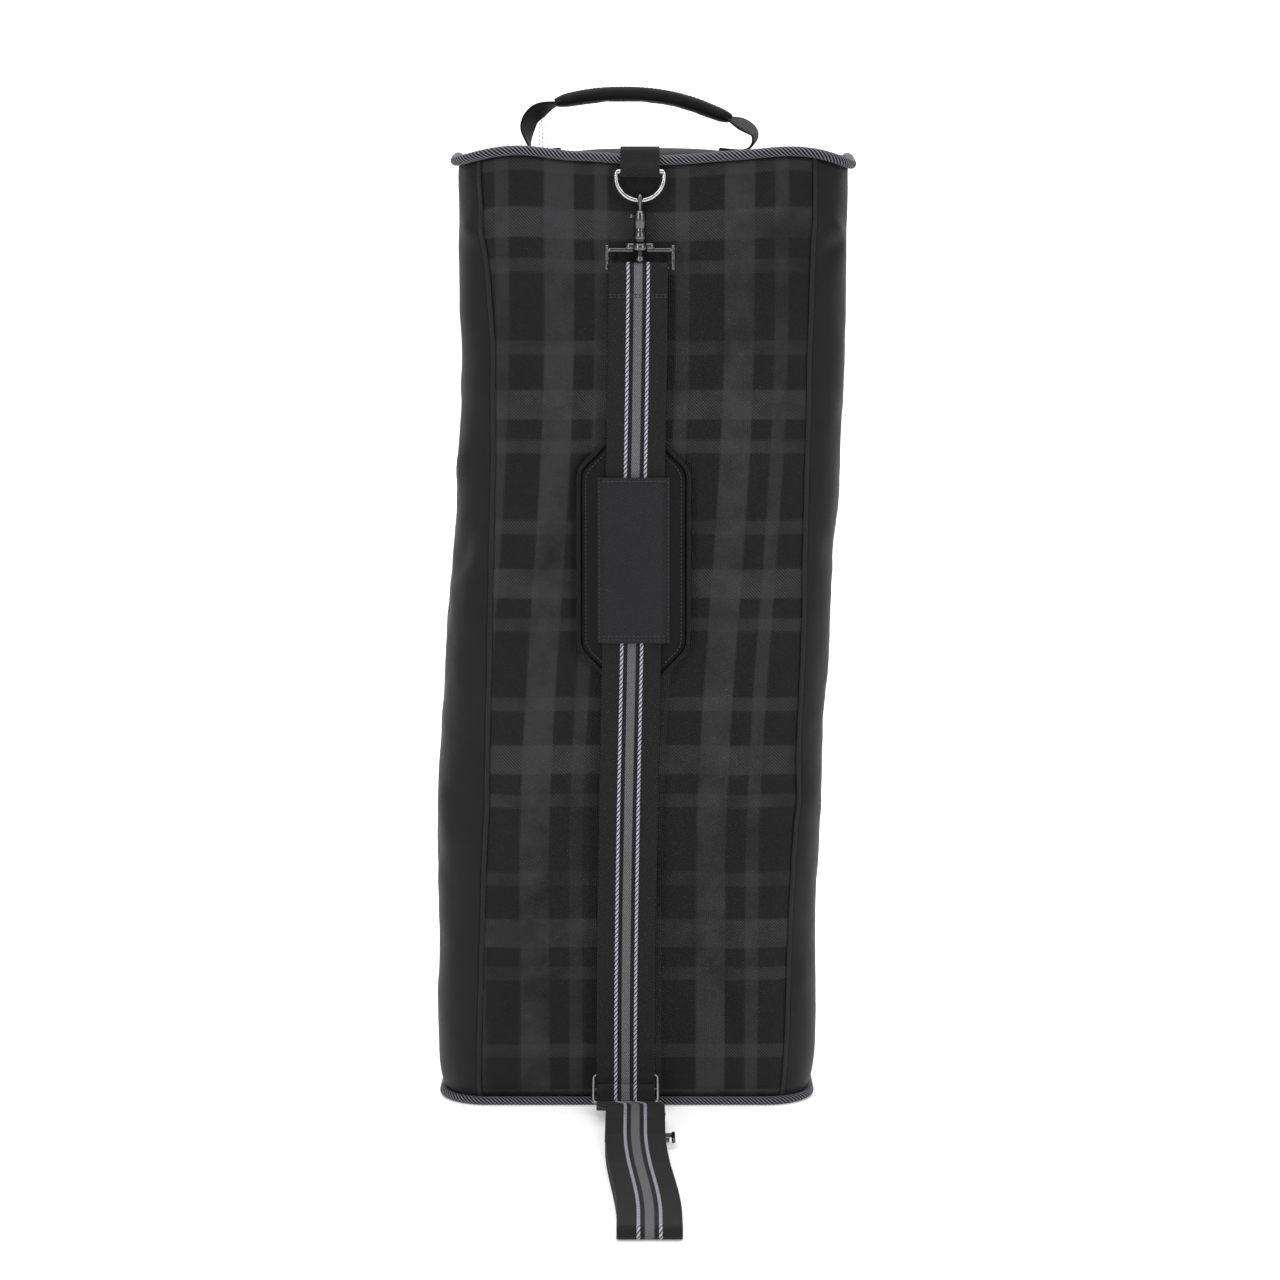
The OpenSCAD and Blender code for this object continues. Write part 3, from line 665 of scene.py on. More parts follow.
def panel(name, left, right, columns):
    """A wall panel between two seams; left and right are distances round the bag at every height."""
    t = np.linspace(0, 1, columns)[None, :]
    s = left[:, None] * (1 - t) + right[:, None] * t
    z = np.repeat(HEIGHTS[:, None], columns, axis=1)
    uv = np.stack([s, z], axis=-1)
    return thicken(grid_mesh(name, wall_point(s, z), uv), CLOTH_T)


left_seam, right_seam = seam_line(-1, HEIGHTS), seam_line(1, HEIGHTS)
rear = np.full_like(HEIGHTS, REAR_SEAM)
front = panel("front_cloth", left_seam, right_seam, 56)
left = panel("left_gusset_cloth", -rear, left_seam, 44)
right = panel("right_gusset_cloth", right_seam, rear, 44)
finish_piece(front, "bag", plaid, "plaid_cloth", "front_panel")
finish_piece(left, "bag", side_cloth, "side_cloth", "left_gusset")
finish_piece(right, "bag", side_cloth, "side_cloth", "right_gusset")
print("front panel", len(front.data.polygons), "faces")

# %% [markdown]
# A seam is never a bare edge: a narrow twill binding is folded over it, and it stands a little proud. It is
# swept down the seam line, so it follows every crease of the cloth beside it.

# %% Seam bindings
SEAM_STEP = 0.003


def down_wall(side_line, out):
    """A path down a seam, and the way out of the cloth at each of its points."""
    z = np.linspace(WALL_Z0, WALL_Z1, int((WALL_Z1 - WALL_Z0) / SEAM_STEP))
    s = side_line(z)
    return wall_point(s, z, out), wall_normal(s)


def binding(name, side_line):
    path, out = down_wall(side_line, 0.0002)
    across = np.cross(tangents(path), out)
    return sweep(name, path, slab_section(0.0030, 0.0013, 0.0005, 2), across)


seam_bindings = joined("seam_bindings", [
    binding("binding_left", lambda z: seam_line(-1, z)),
    binding("binding_right", lambda z: seam_line(1, z)),
    binding("binding_rear_left", lambda z: np.full_like(z, -REAR_SEAM)),
    binding("binding_rear_right", lambda z: np.full_like(z, REAR_SEAM)),
])
finish_piece(seam_bindings, "bag", plain_finish("binding_twill", 0.004, 0.032, 0.0016), "side_cloth")
print("bindings", len(seam_bindings.data.polygons), "faces")

# %% [markdown]
# ## Rear panel, flap and zip
# The rear opening is straight on the hinge side and rounded on the free side. One function gives that outline
# at any inset, so the panel's edge, both tapes, both rows of teeth and the flap are offsets of each other.

# %% Outline of the rear opening
DOOR_X0, DOOR_X1 = -0.089, 0.089
DOOR_Z0, DOOR_Z1 = 0.0415, 0.584496
DOOR_R = 0.036
ZIP_GAP = 0.009
REAR_Y = HALF_D


def door_path(inset, step=0.004):
    """The three zipped sides, from the hinge's lower end round to its upper end, as x and z."""
    r = DOOR_R - inset
    x1, z0, z1 = DOOR_X1 - inset, DOOR_Z0 + inset, DOOR_Z1 - inset
    straight = int((x1 - r - DOOR_X0) / step)
    upright = int((z1 - z0 - 2 * r) / step)
    bends = 16
    low = [(x, z0) for x in np.linspace(DOOR_X0, x1 - r, straight + 1)]
    quarter = np.linspace(0, math.pi / 2, bends)[1:]
    bend_a = [(x1 - r + r * math.sin(a), z0 + r - r * math.cos(a)) for a in quarter]
    side = [(x1, z) for z in np.linspace(z0 + r, z1 - r, upright + 1)[1:]]
    bend_b = [(x1 - r + r * math.cos(a), z1 - r + r * math.sin(a)) for a in quarter]
    top = [(x, z1) for x in np.linspace(x1 - r, DOOR_X0, straight + 1)[1:]]
    return np.array(low + bend_a + side + bend_b + top)


def rear_depth(x, z):
    """Slack of the rear cloth, none of it at the zip."""
    spot = np.stack(np.broadcast_arrays(x, z, 0 * x), axis=-1)
    return wander(spot, 12.0, 11) * 0.0022 + wander(spot, 34.0, 12) * 0.0008 - 0.0012


outline = door_path(0.0)
hinge_side = np.array([(DOOR_X0, z) for z in np.linspace(DOOR_Z1, DOOR_Z0, 120)[1:-1]])
loop = np.vstack([outline, hinge_side])
middle = np.array([(DOOR_X0 + DOOR_X1) / 2, (DOOR_Z0 + DOOR_Z1) / 2])
edge_x = plain_wall(np.array([REAR_SEAM]))[0][0]
away = loop - middle
distance = np.maximum(np.abs(away), 1e-9)
reach_x = np.where(away[:, 0] > 0, edge_x - middle[0], edge_x + middle[0]) / distance[:, 0]
reach_z = np.where(away[:, 1] > 0, WALL_Z1 - middle[1], middle[1] - WALL_Z0) / distance[:, 1]
rim = middle + away * np.minimum(reach_x, reach_z)[:, None]
steps = np.linspace(0, 1, 9)[:, None, None]
ring = loop[None] * (1 - steps) + rim[None] * steps


def rear_wall(x, z, slack):
    """Point of the rear wall: flat between the corners, and curved with the tube beyond them."""
    past = np.clip((np.abs(x) - FLAT_X) / CORNER, 0, 0.999)
    y = FLAT_Y + CORNER * np.sqrt(1 - past ** 2) - foot_tuck(z)
    s = PERIMETER / 2 - np.abs(x)
    lift = rim_wave(s * np.sign(x)) * np.clip((z - 0.585) / (WALL_Z1 - 0.585), 0, 1) ** 2
    return np.stack([x + lean(z) * slack, y + rear_depth(x, z) * slack, z + lift], axis=-1)


slack = np.broadcast_to(smoothstep(0.0, 0.85, steps[:, :, 0]), ring.shape[:2])
rear_uv = np.concatenate([ring, ring[:, :1]], axis=1)
rear_points = rear_wall(ring[..., 0], ring[..., 1], slack)
rear_panel = grid_mesh("rear_cloth", rear_points, rear_uv, wrap_cols=True, flip=True)
thicken(rear_panel, CLOTH_T)
finish_piece(rear_panel, "bag", plaid, "plaid_cloth", "rear_panel")
print("rear panel", len(rear_panel.data.polygons), "faces")

# %% [markdown]
# The flap is one cloth sheet. It is sewn to the rear panel along the hinge side, so a short strip there bends
# between the two bodies while the rest swings.


def bend_at_hinge(thing, material, slot, *nodes):
    """A piece of the flap that stays sewn to the rear panel at the hinge side."""
    thing.data.materials.clear()
    thing.data.materials.append(material)
    if nodes:
        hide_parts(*nodes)
    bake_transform(thing)
    return thing


flap_z = np.linspace(DOOR_Z0 + ZIP_GAP, DOOR_Z1 - ZIP_GAP, 120)
corner = DOOR_R - ZIP_GAP
from_corner = np.clip(corner - np.minimum(flap_z - flap_z[0], flap_z[-1] - flap_z), 0, corner)
flap_x1 = DOOR_X1 - ZIP_GAP - corner + np.sqrt(np.maximum(corner ** 2 - from_corner ** 2, 0))
t = np.linspace(0, 1, 50)[None]
flap_x = (DOOR_X0 + 0.0004) * (1 - t) + flap_x1[:, None] * t
flap_zz = np.repeat(flap_z[:, None], 50, axis=1)
inside_x = np.minimum(flap_x1[:, None] - flap_x, flap_x - DOOR_X0)
inside = np.minimum(inside_x, np.minimum(flap_zz - flap_z[0], flap_z[-1] - flap_zz))
flap_y = REAR_Y + (rear_depth(flap_x, flap_zz) + 0.0006) * smoothstep(0.0, 0.03, inside)
flap_points = np.stack([flap_x, flap_y, flap_zz], axis=-1)
flap = grid_mesh("flap_cloth", flap_points, np.stack([flap_x, flap_zz], axis=-1), flip=True)
thicken(flap, CLOTH_T)
bend_at_hinge(flap, plaid, "plaid_cloth", "rear_flap")
print("flap", len(flap.data.polygons), "faces")

# %% [markdown]
# A zip is two tapes with a row of moulded teeth on each edge. The tapes are strips between two insets of the
# opening. The teeth are one small block, set along a curve by Geometry Nodes, half a pitch out of step with
# the row that it meets.

# %% Zip tapes
ZIP_Y = REAR_Y - 0.002
CHAIN_INSET = ZIP_GAP / 2


def tape(name, outer, inner, x0):
    rows = [door_path(inset) for inset in np.linspace(outer, inner, 5)]
    strips = [np.stack([np.maximum(r[:, 0], x0), np.full(len(r), ZIP_Y), r[:, 1]], axis=1) for r in rows]
    points = np.stack(strips)
    along = lengths(rows[2])
    across = np.linspace(outer, inner, 5)
    uv = np.stack(np.broadcast_arrays(across[:, None], along[None]), axis=-1)
    made = grid_mesh(name, points, uv, flip=True)
    return thicken(made, 0.0008)


tape_bag = tape("zip_tape_of_bag", -0.0028, CHAIN_INSET - 0.0006, DOOR_X0)
finish_piece(tape_bag, "bag", zip_cloth, "zip_tape", "zip_tape_bag")
tape_flap = tape("zip_tape_of_flap", CHAIN_INSET + 0.0006, ZIP_GAP + 0.006, DOOR_X0 + 0.0005)
bend_at_hinge(tape_flap, zip_cloth, "zip_tape", "zip_tape_flap")
print("tapes", tape_bag.name, tape_flap.name)

# %% [markdown]
# Teeth and stitches are the same job: one small shape, many times along a line. Geometry Nodes does it with
# named inputs for the shape, its spacing and its finish, and the result is kept as one plain mesh.

# %% Rows set along a curve by Geometry Nodes


def row_tree(name):
    """Sets one shape along a curve: inputs are the line, the shape, the spacing and the finish."""
    tree = bpy.data.node_groups.new(name, "GeometryNodeTree")
    face = tree.interface
    face.new_socket("Geometry", in_out="INPUT", socket_type="NodeSocketGeometry")
    for label, kind in (("Shape", "NodeSocketObject"), ("Spacing", "NodeSocketFloat"),
                        ("Finish", "NodeSocketMaterial")):
        face.new_socket(label, in_out="INPUT", socket_type=kind)
    face.new_socket("Geometry", in_out="OUTPUT", socket_type="NodeSocketGeometry")
    add = tree.nodes.new
    link = tree.links.new
    start, end = add("NodeGroupInput"), add("NodeGroupOutput")
    curve = add("GeometryNodeMeshToCurve")
    evenly = add("GeometryNodeResampleCurve")
    evenly.mode = "LENGTH"
    away = add("GeometryNodeInputNamedAttribute")
    away.data_type = "FLOAT_VECTOR"
    away.inputs["Name"].default_value = "away"
    tangent = add("GeometryNodeInputTangent")
    along = add("FunctionNodeAlignRotationToVector")
    along.axis = "X"
    upright = add("FunctionNodeAlignRotationToVector")
    upright.axis = "Z"
    upright.pivot_axis = "X"
    shape = add("GeometryNodeObjectInfo")
    copies = add("GeometryNodeInstanceOnPoints")
    real = add("GeometryNodeRealizeInstances")
    paint = add("GeometryNodeSetMaterial")
    link(start.outputs["Geometry"], curve.inputs["Mesh"])
    link(curve.outputs["Curve"], evenly.inputs["Curve"])
    link(start.outputs["Spacing"], evenly.inputs["Length"])
    link(tangent.outputs["Tangent"], along.inputs["Vector"])
    link(along.outputs["Rotation"], upright.inputs["Rotation"])
    link(away.outputs["Attribute"], upright.inputs["Vector"])
    link(evenly.outputs["Curve"], copies.inputs["Points"])
    link(start.outputs["Shape"], shape.inputs["Object"])
    link(shape.outputs["Geometry"], copies.inputs["Instance"])
    link(upright.outputs["Rotation"], copies.inputs["Rotation"])
    link(copies.outputs["Instances"], real.inputs["Geometry"])
    link(real.outputs["Geometry"], paint.inputs["Geometry"])
    link(start.outputs["Finish"], paint.inputs["Material"])
    link(paint.outputs["Geometry"], end.inputs["Geometry"])
    return tree


ROWS = row_tree("set_along_a_curve")


def set_along(name, runs, shape, spacing, material):
    """runs is a list of (path, outward direction); returns one plain mesh of every copy."""
    verts, edges, away = [], [], []
    for path, out in runs:
        start = len(verts)
        verts += [tuple(p) for p in path]
        away += [tuple(v) for v in np.broadcast_to(out, np.shape(path))]
        edges += [(start + k, start + k + 1) for k in range(len(path) - 1)]
    mesh = bpy.data.meshes.new(name + "_line")
    mesh.from_pydata(verts, edges, [])
    directions = mesh.attributes.new("away", "FLOAT_VECTOR", "POINT").data
    directions.foreach_set("vector", np.array(away, np.float32).ravel())
    carrier = place(name + "_line", mesh)
    nodes = carrier.modifiers.new("row", "NODES")
    nodes.node_group = ROWS
    sockets = {item.name: item.identifier for item in ROWS.interface.items_tree if item.in_out == "INPUT"}
    nodes[sockets["Shape"]] = shape
    nodes[sockets["Spacing"]] = spacing
    nodes[sockets["Finish"]] = material
    bpy.context.view_layer.update()
    solid = bpy.data.meshes.new_from_object(carrier.evaluated_get(bpy.context.evaluated_depsgraph_get()))
    bpy.data.objects.remove(carrier)
    made = place(name, solid)
    made.data.name = name
    return made


def block(name, size, taper):
    """A small block along X with its top narrowed; it is only ever copied, so it is removed after use."""
    x, y, z = (v / 2 for v in size)
    ty = y * taper
    verts = [(-x, -y, -z), (x, -y, -z), (x, y, -z), (-x, y, -z),
             (-x * taper, -ty, z), (x * taper, -ty, z), (x * taper, ty, z), (-x * taper, ty, z)]
    faces = [(3, 2, 1, 0), (4, 5, 6, 7), (0, 1, 5, 4), (1, 2, 6, 5), (2, 3, 7, 6), (3, 0, 4, 7)]
    mesh = bpy.data.meshes.new(name)
    mesh.from_pydata([tuple(v) for v in verts], [], faces)
    shape = place(name, mesh)
    shape.location = (0, 0, -5)
    return shape


def teeth_run(inset, x0, shift):
    flat = resampled(door_path(inset), 0.0008)
    path = np.stack([np.maximum(flat[:, 0], x0), np.full(len(flat), ZIP_Y + 0.0009), flat[:, 1]], axis=1)
    return [(path[shift:], (0.0, 1.0, 0.0))]


TOOTH_PITCH = 0.0019
TOOTH_OFF = 0.0010
tooth = block("tooth", (0.0009, 0.0027, 0.0016), 0.75)
bag_run = teeth_run(CHAIN_INSET - TOOTH_OFF, DOOR_X0, 0)
teeth_bag = set_along("zip_teeth_of_bag", bag_run, tooth, TOOTH_PITCH, zip_nylon)
finish_piece(teeth_bag, "bag", zip_nylon, "zip_coil", "zip_coil_bag")
flap_run = teeth_run(CHAIN_INSET + TOOTH_OFF, DOOR_X0 + 0.0005, 1)
teeth_flap = set_along("zip_teeth_of_flap", flap_run, tooth, TOOTH_PITCH, zip_nylon)
bend_at_hinge(teeth_flap, zip_nylon, "zip_coil", "zip_coil_flap")
bpy.data.objects.remove(tooth)
print("teeth", len(teeth_bag.data.polygons) + len(teeth_flap.data.polygons), "faces")

# %% [markdown]
# ## Rims, top and base
# The top and base are padded panels, so they are crowned rather than flat. Each is a set of rings drawn from
# the wall's own outline inwards. A twisted cord in a cloth cover, the piping, is sewn round both.

# %% Top and base panels
ROUND = np.linspace(-PERIMETER / 2, PERIMETER / 2, 241)[:-1]


def outline_ring(inset, z, shift):
    x, y, nx, ny = plain_wall(ROUND)
    return np.stack([x - nx * inset + shift, y - ny * inset, np.broadcast_to(z, x.shape)], axis=-1)


def cushion_slab(name, top_height, bottom_height, shift, inset=0.0012, wave=0.0):
    """A closed slab whose two faces are given by a height at each share of the way to the edge."""
    shares = np.concatenate([np.linspace(0.004, 0.9, 26), np.linspace(0.92, 1.0, 5)])
    edge = outline_ring(inset, 0.0, 0.0)
    edge_lift = rim_wave(ROUND) * wave
    rings = []
    for height, order in ((top_height, shares), (bottom_height, shares[::-1])):
        for share in order:
            ring = edge * share
            ring[:, 2] = height(ring[:, 0], ring[:, 1], share) + edge_lift * share ** 4
            rings.append(ring + np.array([shift, 0, 0]))
    points = np.array(rings)
    uv = np.concatenate([points[..., :2], points[:, :1, :2]], axis=1)
    return outwards(grid_mesh(name, points, uv, wrap_cols=True, caps=True))


def level_at(height):
    """A face of a slab that stays at one height."""
    return lambda x, y, share: 0 * x + height


def crown(x, y, share):
    """The top panel rises over the stuffed rope, more between the handle's feet than outside them."""
    dome = (1 - np.clip(share, 0, 1) ** 2.4) * (0.0030 + 0.0046 * np.exp(-(x / 0.058) ** 4))
    spot = np.stack(np.broadcast_arrays(x, y, 0 * x), axis=-1)
    return 0.6208 + dome + wander(spot, 28.0, 21) * 0.0008 * (1 - share)


TOP_SHIFT, FOOT_SHIFT = float(lean(WALL_Z1)), float(lean(0))
top = cushion_slab("top_cloth_panel", crown, level_at(WALL_Z1 - 0.0008), TOP_SHIFT, wave=1.0)
finish_piece(top, "bag", top_cloth, "lining_cloth", "top_panel")


def belly(x, y, share):
    spot = np.stack(np.broadcast_arrays(x, y, 0 * x), axis=-1)
    return 0.0014 * max(0.0, share - 0.9) * 10 + np.abs(wander(spot, 22.0, 22)) * 0.0004 * (1 - share)


base = cushion_slab("base_cloth_panel", level_at(0.0054), belly, FOOT_SHIFT, 0.0012 + FOOT_TUCK)
finish_piece(base, "bag", lining, "lining_cloth", "base_panel")
print("top and base", len(top.data.polygons) + len(base.data.polygons), "faces")

# %% [markdown]
# Piping is a cord in a strip of cloth, sewn into the seam as one endless loop. Sweeping it round the wall's own
# outline keeps it in touch with the wall, and its strands are lobes of the section that turn as it goes along.

# %% Corded piping and boards


def piping(name, z, radius, out, wave, shift):
    """A corded loop round the rim; the upper one rises and dips with the wall."""
    step = np.linspace(-PERIMETER / 2, PERIMETER / 2, 1001)[:-1]
    x, y, nx, ny = plain_wall(step)
    path = np.stack([x + nx * out + shift, y + ny * out, z + wave * rim_wave(step)], axis=-1)
    normal = np.stack([nx, ny, 0 * nx], axis=-1)
    lobes = (PIPING_STRANDS, PIPING_LEAD, 0.07)
    return sweep(name, path, circle_section(radius, 28), normal, closed=True, lobes=lobes)


top_cord = piping("piping_top", 0.6226, 0.0030, 0.0023, 1.0, TOP_SHIFT)
low_cord = piping("piping_bottom", 0.0030, 0.0027, 0.0016 - FOOT_TUCK, 0.0, FOOT_SHIFT)
finish_piece(top_cord, "bag", piping_cord, "piping_cord", "top_piping")
finish_piece(low_cord, "bag", piping_cord, "piping_cord", "bottom_piping")


def stiffener(name, z0, z1, shift, node):
    """A thin board, cut a little smaller than the panel that it stiffens."""
    flat = cushion_slab(name, level_at(z1), level_at(z0), shift, 0.0095)
    flat.data.polygons.foreach_set("use_smooth", [False] * len(flat.data.polygons))
    return finish_piece(flat, "bag", board, "board", node)


stiffener("base_stiffener", 0.0056, 0.0081, FOOT_SHIFT, "base_board")
stiffener("top_stiffener", 0.6105, 0.6130, TOP_SHIFT, "top_board")
print("piping loops", len(top_cord.data.polygons), "faces each")

# %% [markdown]
# ## Carry handle
# The handle is one length of webbing. Both ends are folded flat and box-stitched to the top panel, and the
# middle carries a padded grip. The webbing bends between the bag and the swinging handle at its two legs.

# %% Handle webbing
WEB_W = 0.025


def handle_foot(side):
    """A sewn foot, lying on the crown and turning up into the leg."""
    return [(side * 0.052, 0.6278), (side * 0.060, 0.6269), (side * 0.0675, 0.6264), (side * 0.0725, 0.6284)]


handle_line = handle_foot(-1) + [(-0.0738, 0.6346), (-0.0742, 0.6420), (-0.0712, 0.6495), (-0.0625, 0.6550),
                                 (-0.0500, 0.6590), (-0.0300, 0.6632), (-0.0060, 0.6642), (0.0160, 0.6622),
                                 (0.0360, 0.6570), (0.0500, 0.6508), (0.0620, 0.6462), (0.0700, 0.6428),
                                 (0.0752, 0.6388), (0.0756, 0.6346)] + handle_foot(1)[::-1]
handle_line = resampled(rounded(handle_line, 3), 0.0018)
handle_line = np.stack([handle_line[:, 0], 0 * handle_line[:, 0], handle_line[:, 1]], axis=1)


def ribbon(name, path, width, thickness, side):
    """Flat webbing: U runs across it from its middle and V along it, both in metres."""
    section = slab_section(width, thickness, thickness * 0.45, 3)
    extra = np.linspace(-width / 2 + thickness, width / 2 - thickness, 9)
    top_half = [(x, thickness / 2) for x in extra[::-1]]
    low_half = [(x, -thickness / 2) for x in extra]
    section = np.vstack([section[:4], top_half, section[4:12], low_half, section[12:]])
    made = sweep(name, path, section, side)
    along = lengths(np.asarray(path))
    count = len(section)
    across = section[:, 0]
    layer = made.data.uv_layers["cloth"]
    for loop_index, corner_vertex in enumerate(v for p in made.data.polygons for v in p.vertices):
        row = min(corner_vertex // count, len(along) - 1)
        layer.data[loop_index].uv = (across[corner_vertex % count], along[row])
    return made


handle_along = tangents(handle_line)
beside = np.cross(handle_along, np.broadcast_to([0.0, 1.0, 0.0], handle_line.shape))
in_leg = smoothstep(0.052, 0.068, np.abs(handle_line[:, 0])) * smoothstep(0.628, 0.644, handle_line[:, 2])
twist = np.radians(20) * in_leg
turned_by = (np.sin(twist) * np.sign(handle_line[:, 0]))[:, None]
handle_side = np.array([[0.0, 1.0, 0.0]]) * np.cos(twist)[:, None] + beside * turned_by
handle_web = ribbon("handle_webbing_band", handle_line, WEB_W, 0.0016, handle_side)
handle_web.data.materials.append(webbing)
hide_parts("handle_webbing", "handle_anchors")
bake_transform(handle_web)
print("handle webbing", round(float(lengths(handle_line)[-1]), 3), "m long")

# %% [markdown]
# The grip and the shoulder pad are foam in a cloth cover. Both start a little small, are rebuilt from even
# cubes, and are blown up gently by Blender's cloth solver, so their faces crown and their edges pull in. A cap
# on how far a point may travel keeps the foam its real size.

# %% Padded forms


def inflated(thing, voxel, pressure, cap, frames=16):
    """Puffs a closed form with the cloth solver and leaves a plain mesh."""
    remesh = thing.modifiers.new("even", "REMESH")
    remesh.mode = "VOXEL"
    remesh.voxel_size = voxel
    bpy.context.view_layer.update()
    start = bpy.data.meshes.new_from_object(thing.evaluated_get(bpy.context.evaluated_depsgraph_get()))
    name = thing.name
    bpy.data.objects.remove(thing)
    puffed = place(name, start)
    rest = np.array([v.co for v in start.vertices])
    cloth = puffed.modifiers.new("puff", "CLOTH")
    cloth.settings.use_pressure = True
    cloth.settings.uniform_pressure_force = pressure
    cloth.settings.effector_weights.gravity = 0
    cloth.settings.quality = 5
    cloth.point_cache.frame_start = 1
    cloth.point_cache.frame_end = frames
    for frame_number in range(1, frames + 1):
        bpy.context.scene.frame_set(frame_number)
    final = bpy.data.meshes.new_from_object(puffed.evaluated_get(bpy.context.evaluated_depsgraph_get()))
    bpy.data.objects.remove(puffed)
    bpy.context.scene.frame_set(1)
    moved = np.array([v.co for v in final.vertices]) - rest
    size = np.linalg.norm(moved, axis=1, keepdims=True)
    print(name, "puffed by up to", round(float(size.max()), 5), "m before the cap")
    new = rest + moved * np.minimum(1.0, cap / np.maximum(size, 1e-9))
    final.vertices.foreach_set("co", new.astype(np.float32).ravel())
    final.polygons.foreach_set("use_smooth", [True] * len(final.polygons))
    made = place(name, final)
    smooth = made.modifiers.new("smooth", "SUBSURF")
    smooth.levels = smooth.render_levels = 1
    return made


def object_cloth(name, dark, light, pitch, rough):
    """A weave on object coordinates, for padded forms whose skin was rebuilt."""
    cloth = Finish(name, rough, Sheen_Weight=0.05, Sheen_Roughness=0.5, Specular_IOR_Level=0.12)
    split = cloth.tree.nodes.new("ShaderNodeSeparateXYZ")
    cloth.tree.links.new(cloth.place().socket, split.inputs[0])
    x, y, z = (Value(cloth, split.outputs[k]) for k in range(3))
    first = x.wave(pitch)
    second = (z + y).wave(pitch)
    over = first * second + (1 - first) * (1 - second)
    yarn = cloth.noise(700.0, 2.0)
    patch = cloth.noise(20.0, 3.0)
    level = (over * 0.4 + yarn * 0.35 + patch * 0.35).clamp()
    cloth.colour(cloth.mix(level, grey(dark, 1.1), grey(light, 1.1)))
    cloth.bump(over + yarn * 0.4, 0.00018)
    return cloth.material


on_grip = (handle_line[:, 0] > -0.056) & (handle_line[:, 0] < 0.0605) & (handle_line[:, 2] > 0.644)
grip_path = handle_line[on_grip]
along_grip = lengths(grip_path)
end_gap = np.minimum(along_grip, along_grip[-1] - along_grip)
grip_size = 0.70 + 0.30 * smoothstep(0.0, 0.007, end_gap)
grip = sweep("grip_pad", grip_path, slab_section(0.0275, 0.0078, 0.0036, 5), (0.0, 1.0, 0.0), scale=grip_size)
grip = inflated(grip, 0.0017, 2.5, 0.0011)
finish_piece(grip, "handle", object_cloth("grip_weave", 0.0035, 0.013, 0.0013, 0.6), "grip_cloth", "handle_grip")
print("grip", len(grip.data.polygons), "faces")

# %% [markdown]
# The sewing is what tells cloth from plastic. A row is drawn above its piece and dropped on to the finished
# skin by casting rays, so the stitches lie on the padding and don't float over it.

# %% Rows of stitches
stitch_shape = block("stitch", (0.0019, 0.00055, 0.00040), 0.8)


def seam_run(points, out):
    return (resampled(np.asarray(points, float), 0.002), np.asarray(out, float))


def laid_on(thing, points, out):
    """Drops a row of stitches on to a piece's finished skin, from the side that out points to."""
    graph = bpy.context.evaluated_depsgraph_get()
    skin = BVHTree.FromObject(thing, graph)
    path, away = seam_run(points, out)
    landed = []
    for point in path:
        hit = skin.ray_cast(Vector(point + away * 0.02), Vector(-away))[0]
        landed.append(np.array(hit) if hit is not None else point)
    return (np.array(landed) + away * 0.0001, away)


def box_stitch(thing, centre_x, half_x, half_y):
    """A sewn box with its cross, on a foot of the handle."""
    def at(x, y):
        return (centre_x + x * half_x, y * half_y, 0.63)
    box = [at(-1, -1), at(1, -1), at(1, 1), at(-1, 1), at(-1, -1)]
    return [laid_on(thing, line, (0.0, 0.0, 1.0)) for line in (box, [at(-1, -1), at(1, 1)], [at(-1, 1), at(1, -1)])]


top_stitches = set_along("handle_foot_stitches", box_stitch(handle_web, -0.0600, 0.0060, 0.0095)
                         + box_stitch(handle_web, 0.0600, 0.0060, 0.0095), stitch_shape, 0.0026, thread)
finish_piece(top_stitches, "bag", thread, "webbing")

grip_runs = []
for y_side in (-1, 1):
    for face_side in (-1, 1):
        line = [p + np.array([0, y_side * 0.0108, 0]) for p in grip_path[5:-5]]
        grip_runs.append(laid_on(grip, line, (0.0, 0.0, float(face_side))))
grip_stitches = set_along("grip_stitches", grip_runs, stitch_shape, 0.0028, thread)
finish_piece(grip_stitches, "handle", thread, "grip_cloth")
print("stitches on the handle", len(top_stitches.data.polygons) // 6 + len(grip_stitches.data.polygons) // 6)

# %% [markdown]
# ## Rings and snap hooks
# Both ends of the strap carry the same set: a D-ring in a sewn tab, a bolt snap, and a wide swivel loop. Each
# set is built once in its own pull frame, where the ring crosses the hook at the origin and +Z points to the
# bag. Two small functions then put it on the front or lay it on the floor.

# %% Pull frames
LOOP_OUT = 0.007
CROSS_Z = 0.59325
LOW_Z = 0.0056
LOW_CROSS_OUT = 0.05575


def on_front(points):
    return np.asarray(points) + np.array([0, FRONT_Y - LOOP_OUT, CROSS_Z])


def on_floor(points):
    p = np.asarray(points)
    return np.stack([p[..., 0], p[..., 2] + FRONT_Y - LOW_CROSS_OUT, -p[..., 1] + LOW_Z], axis=-1)


def moved_to(thing, frame_of):
    points = frame_of(np.array([v.co for v in thing.data.vertices]))
    thing.data.vertices.foreach_set("co", points.astype(np.float32).ravel())
    thing.data.update()
    return thing


WIRE = 0.0015
RING_R = 0.01525
HOOK_R = 0.0039
FRAME_HALF = 0.0211


def d_ring(name):
    arc = [(RING_R * math.cos(a), 0, RING_R + RING_R * math.sin(a)) for a in np.linspace(math.pi, 2 * math.pi, 40)]
    top_z = RING_R + 0.003
    bar = [(RING_R, 0, top_z - 0.0012), (RING_R - 0.0004, 0, top_z - 0.0004), (RING_R - 0.0014, 0, top_z)]
    across = [(x, 0, top_z) for x in np.linspace(RING_R - 0.003, -RING_R + 0.003, 12)]
    back = [(-x, y, z) for x, y, z in bar[::-1]]
    return sweep(name, arc + bar + across + back, circle_section(WIRE, 16), (0.0, 1.0, 0.0), closed=True)


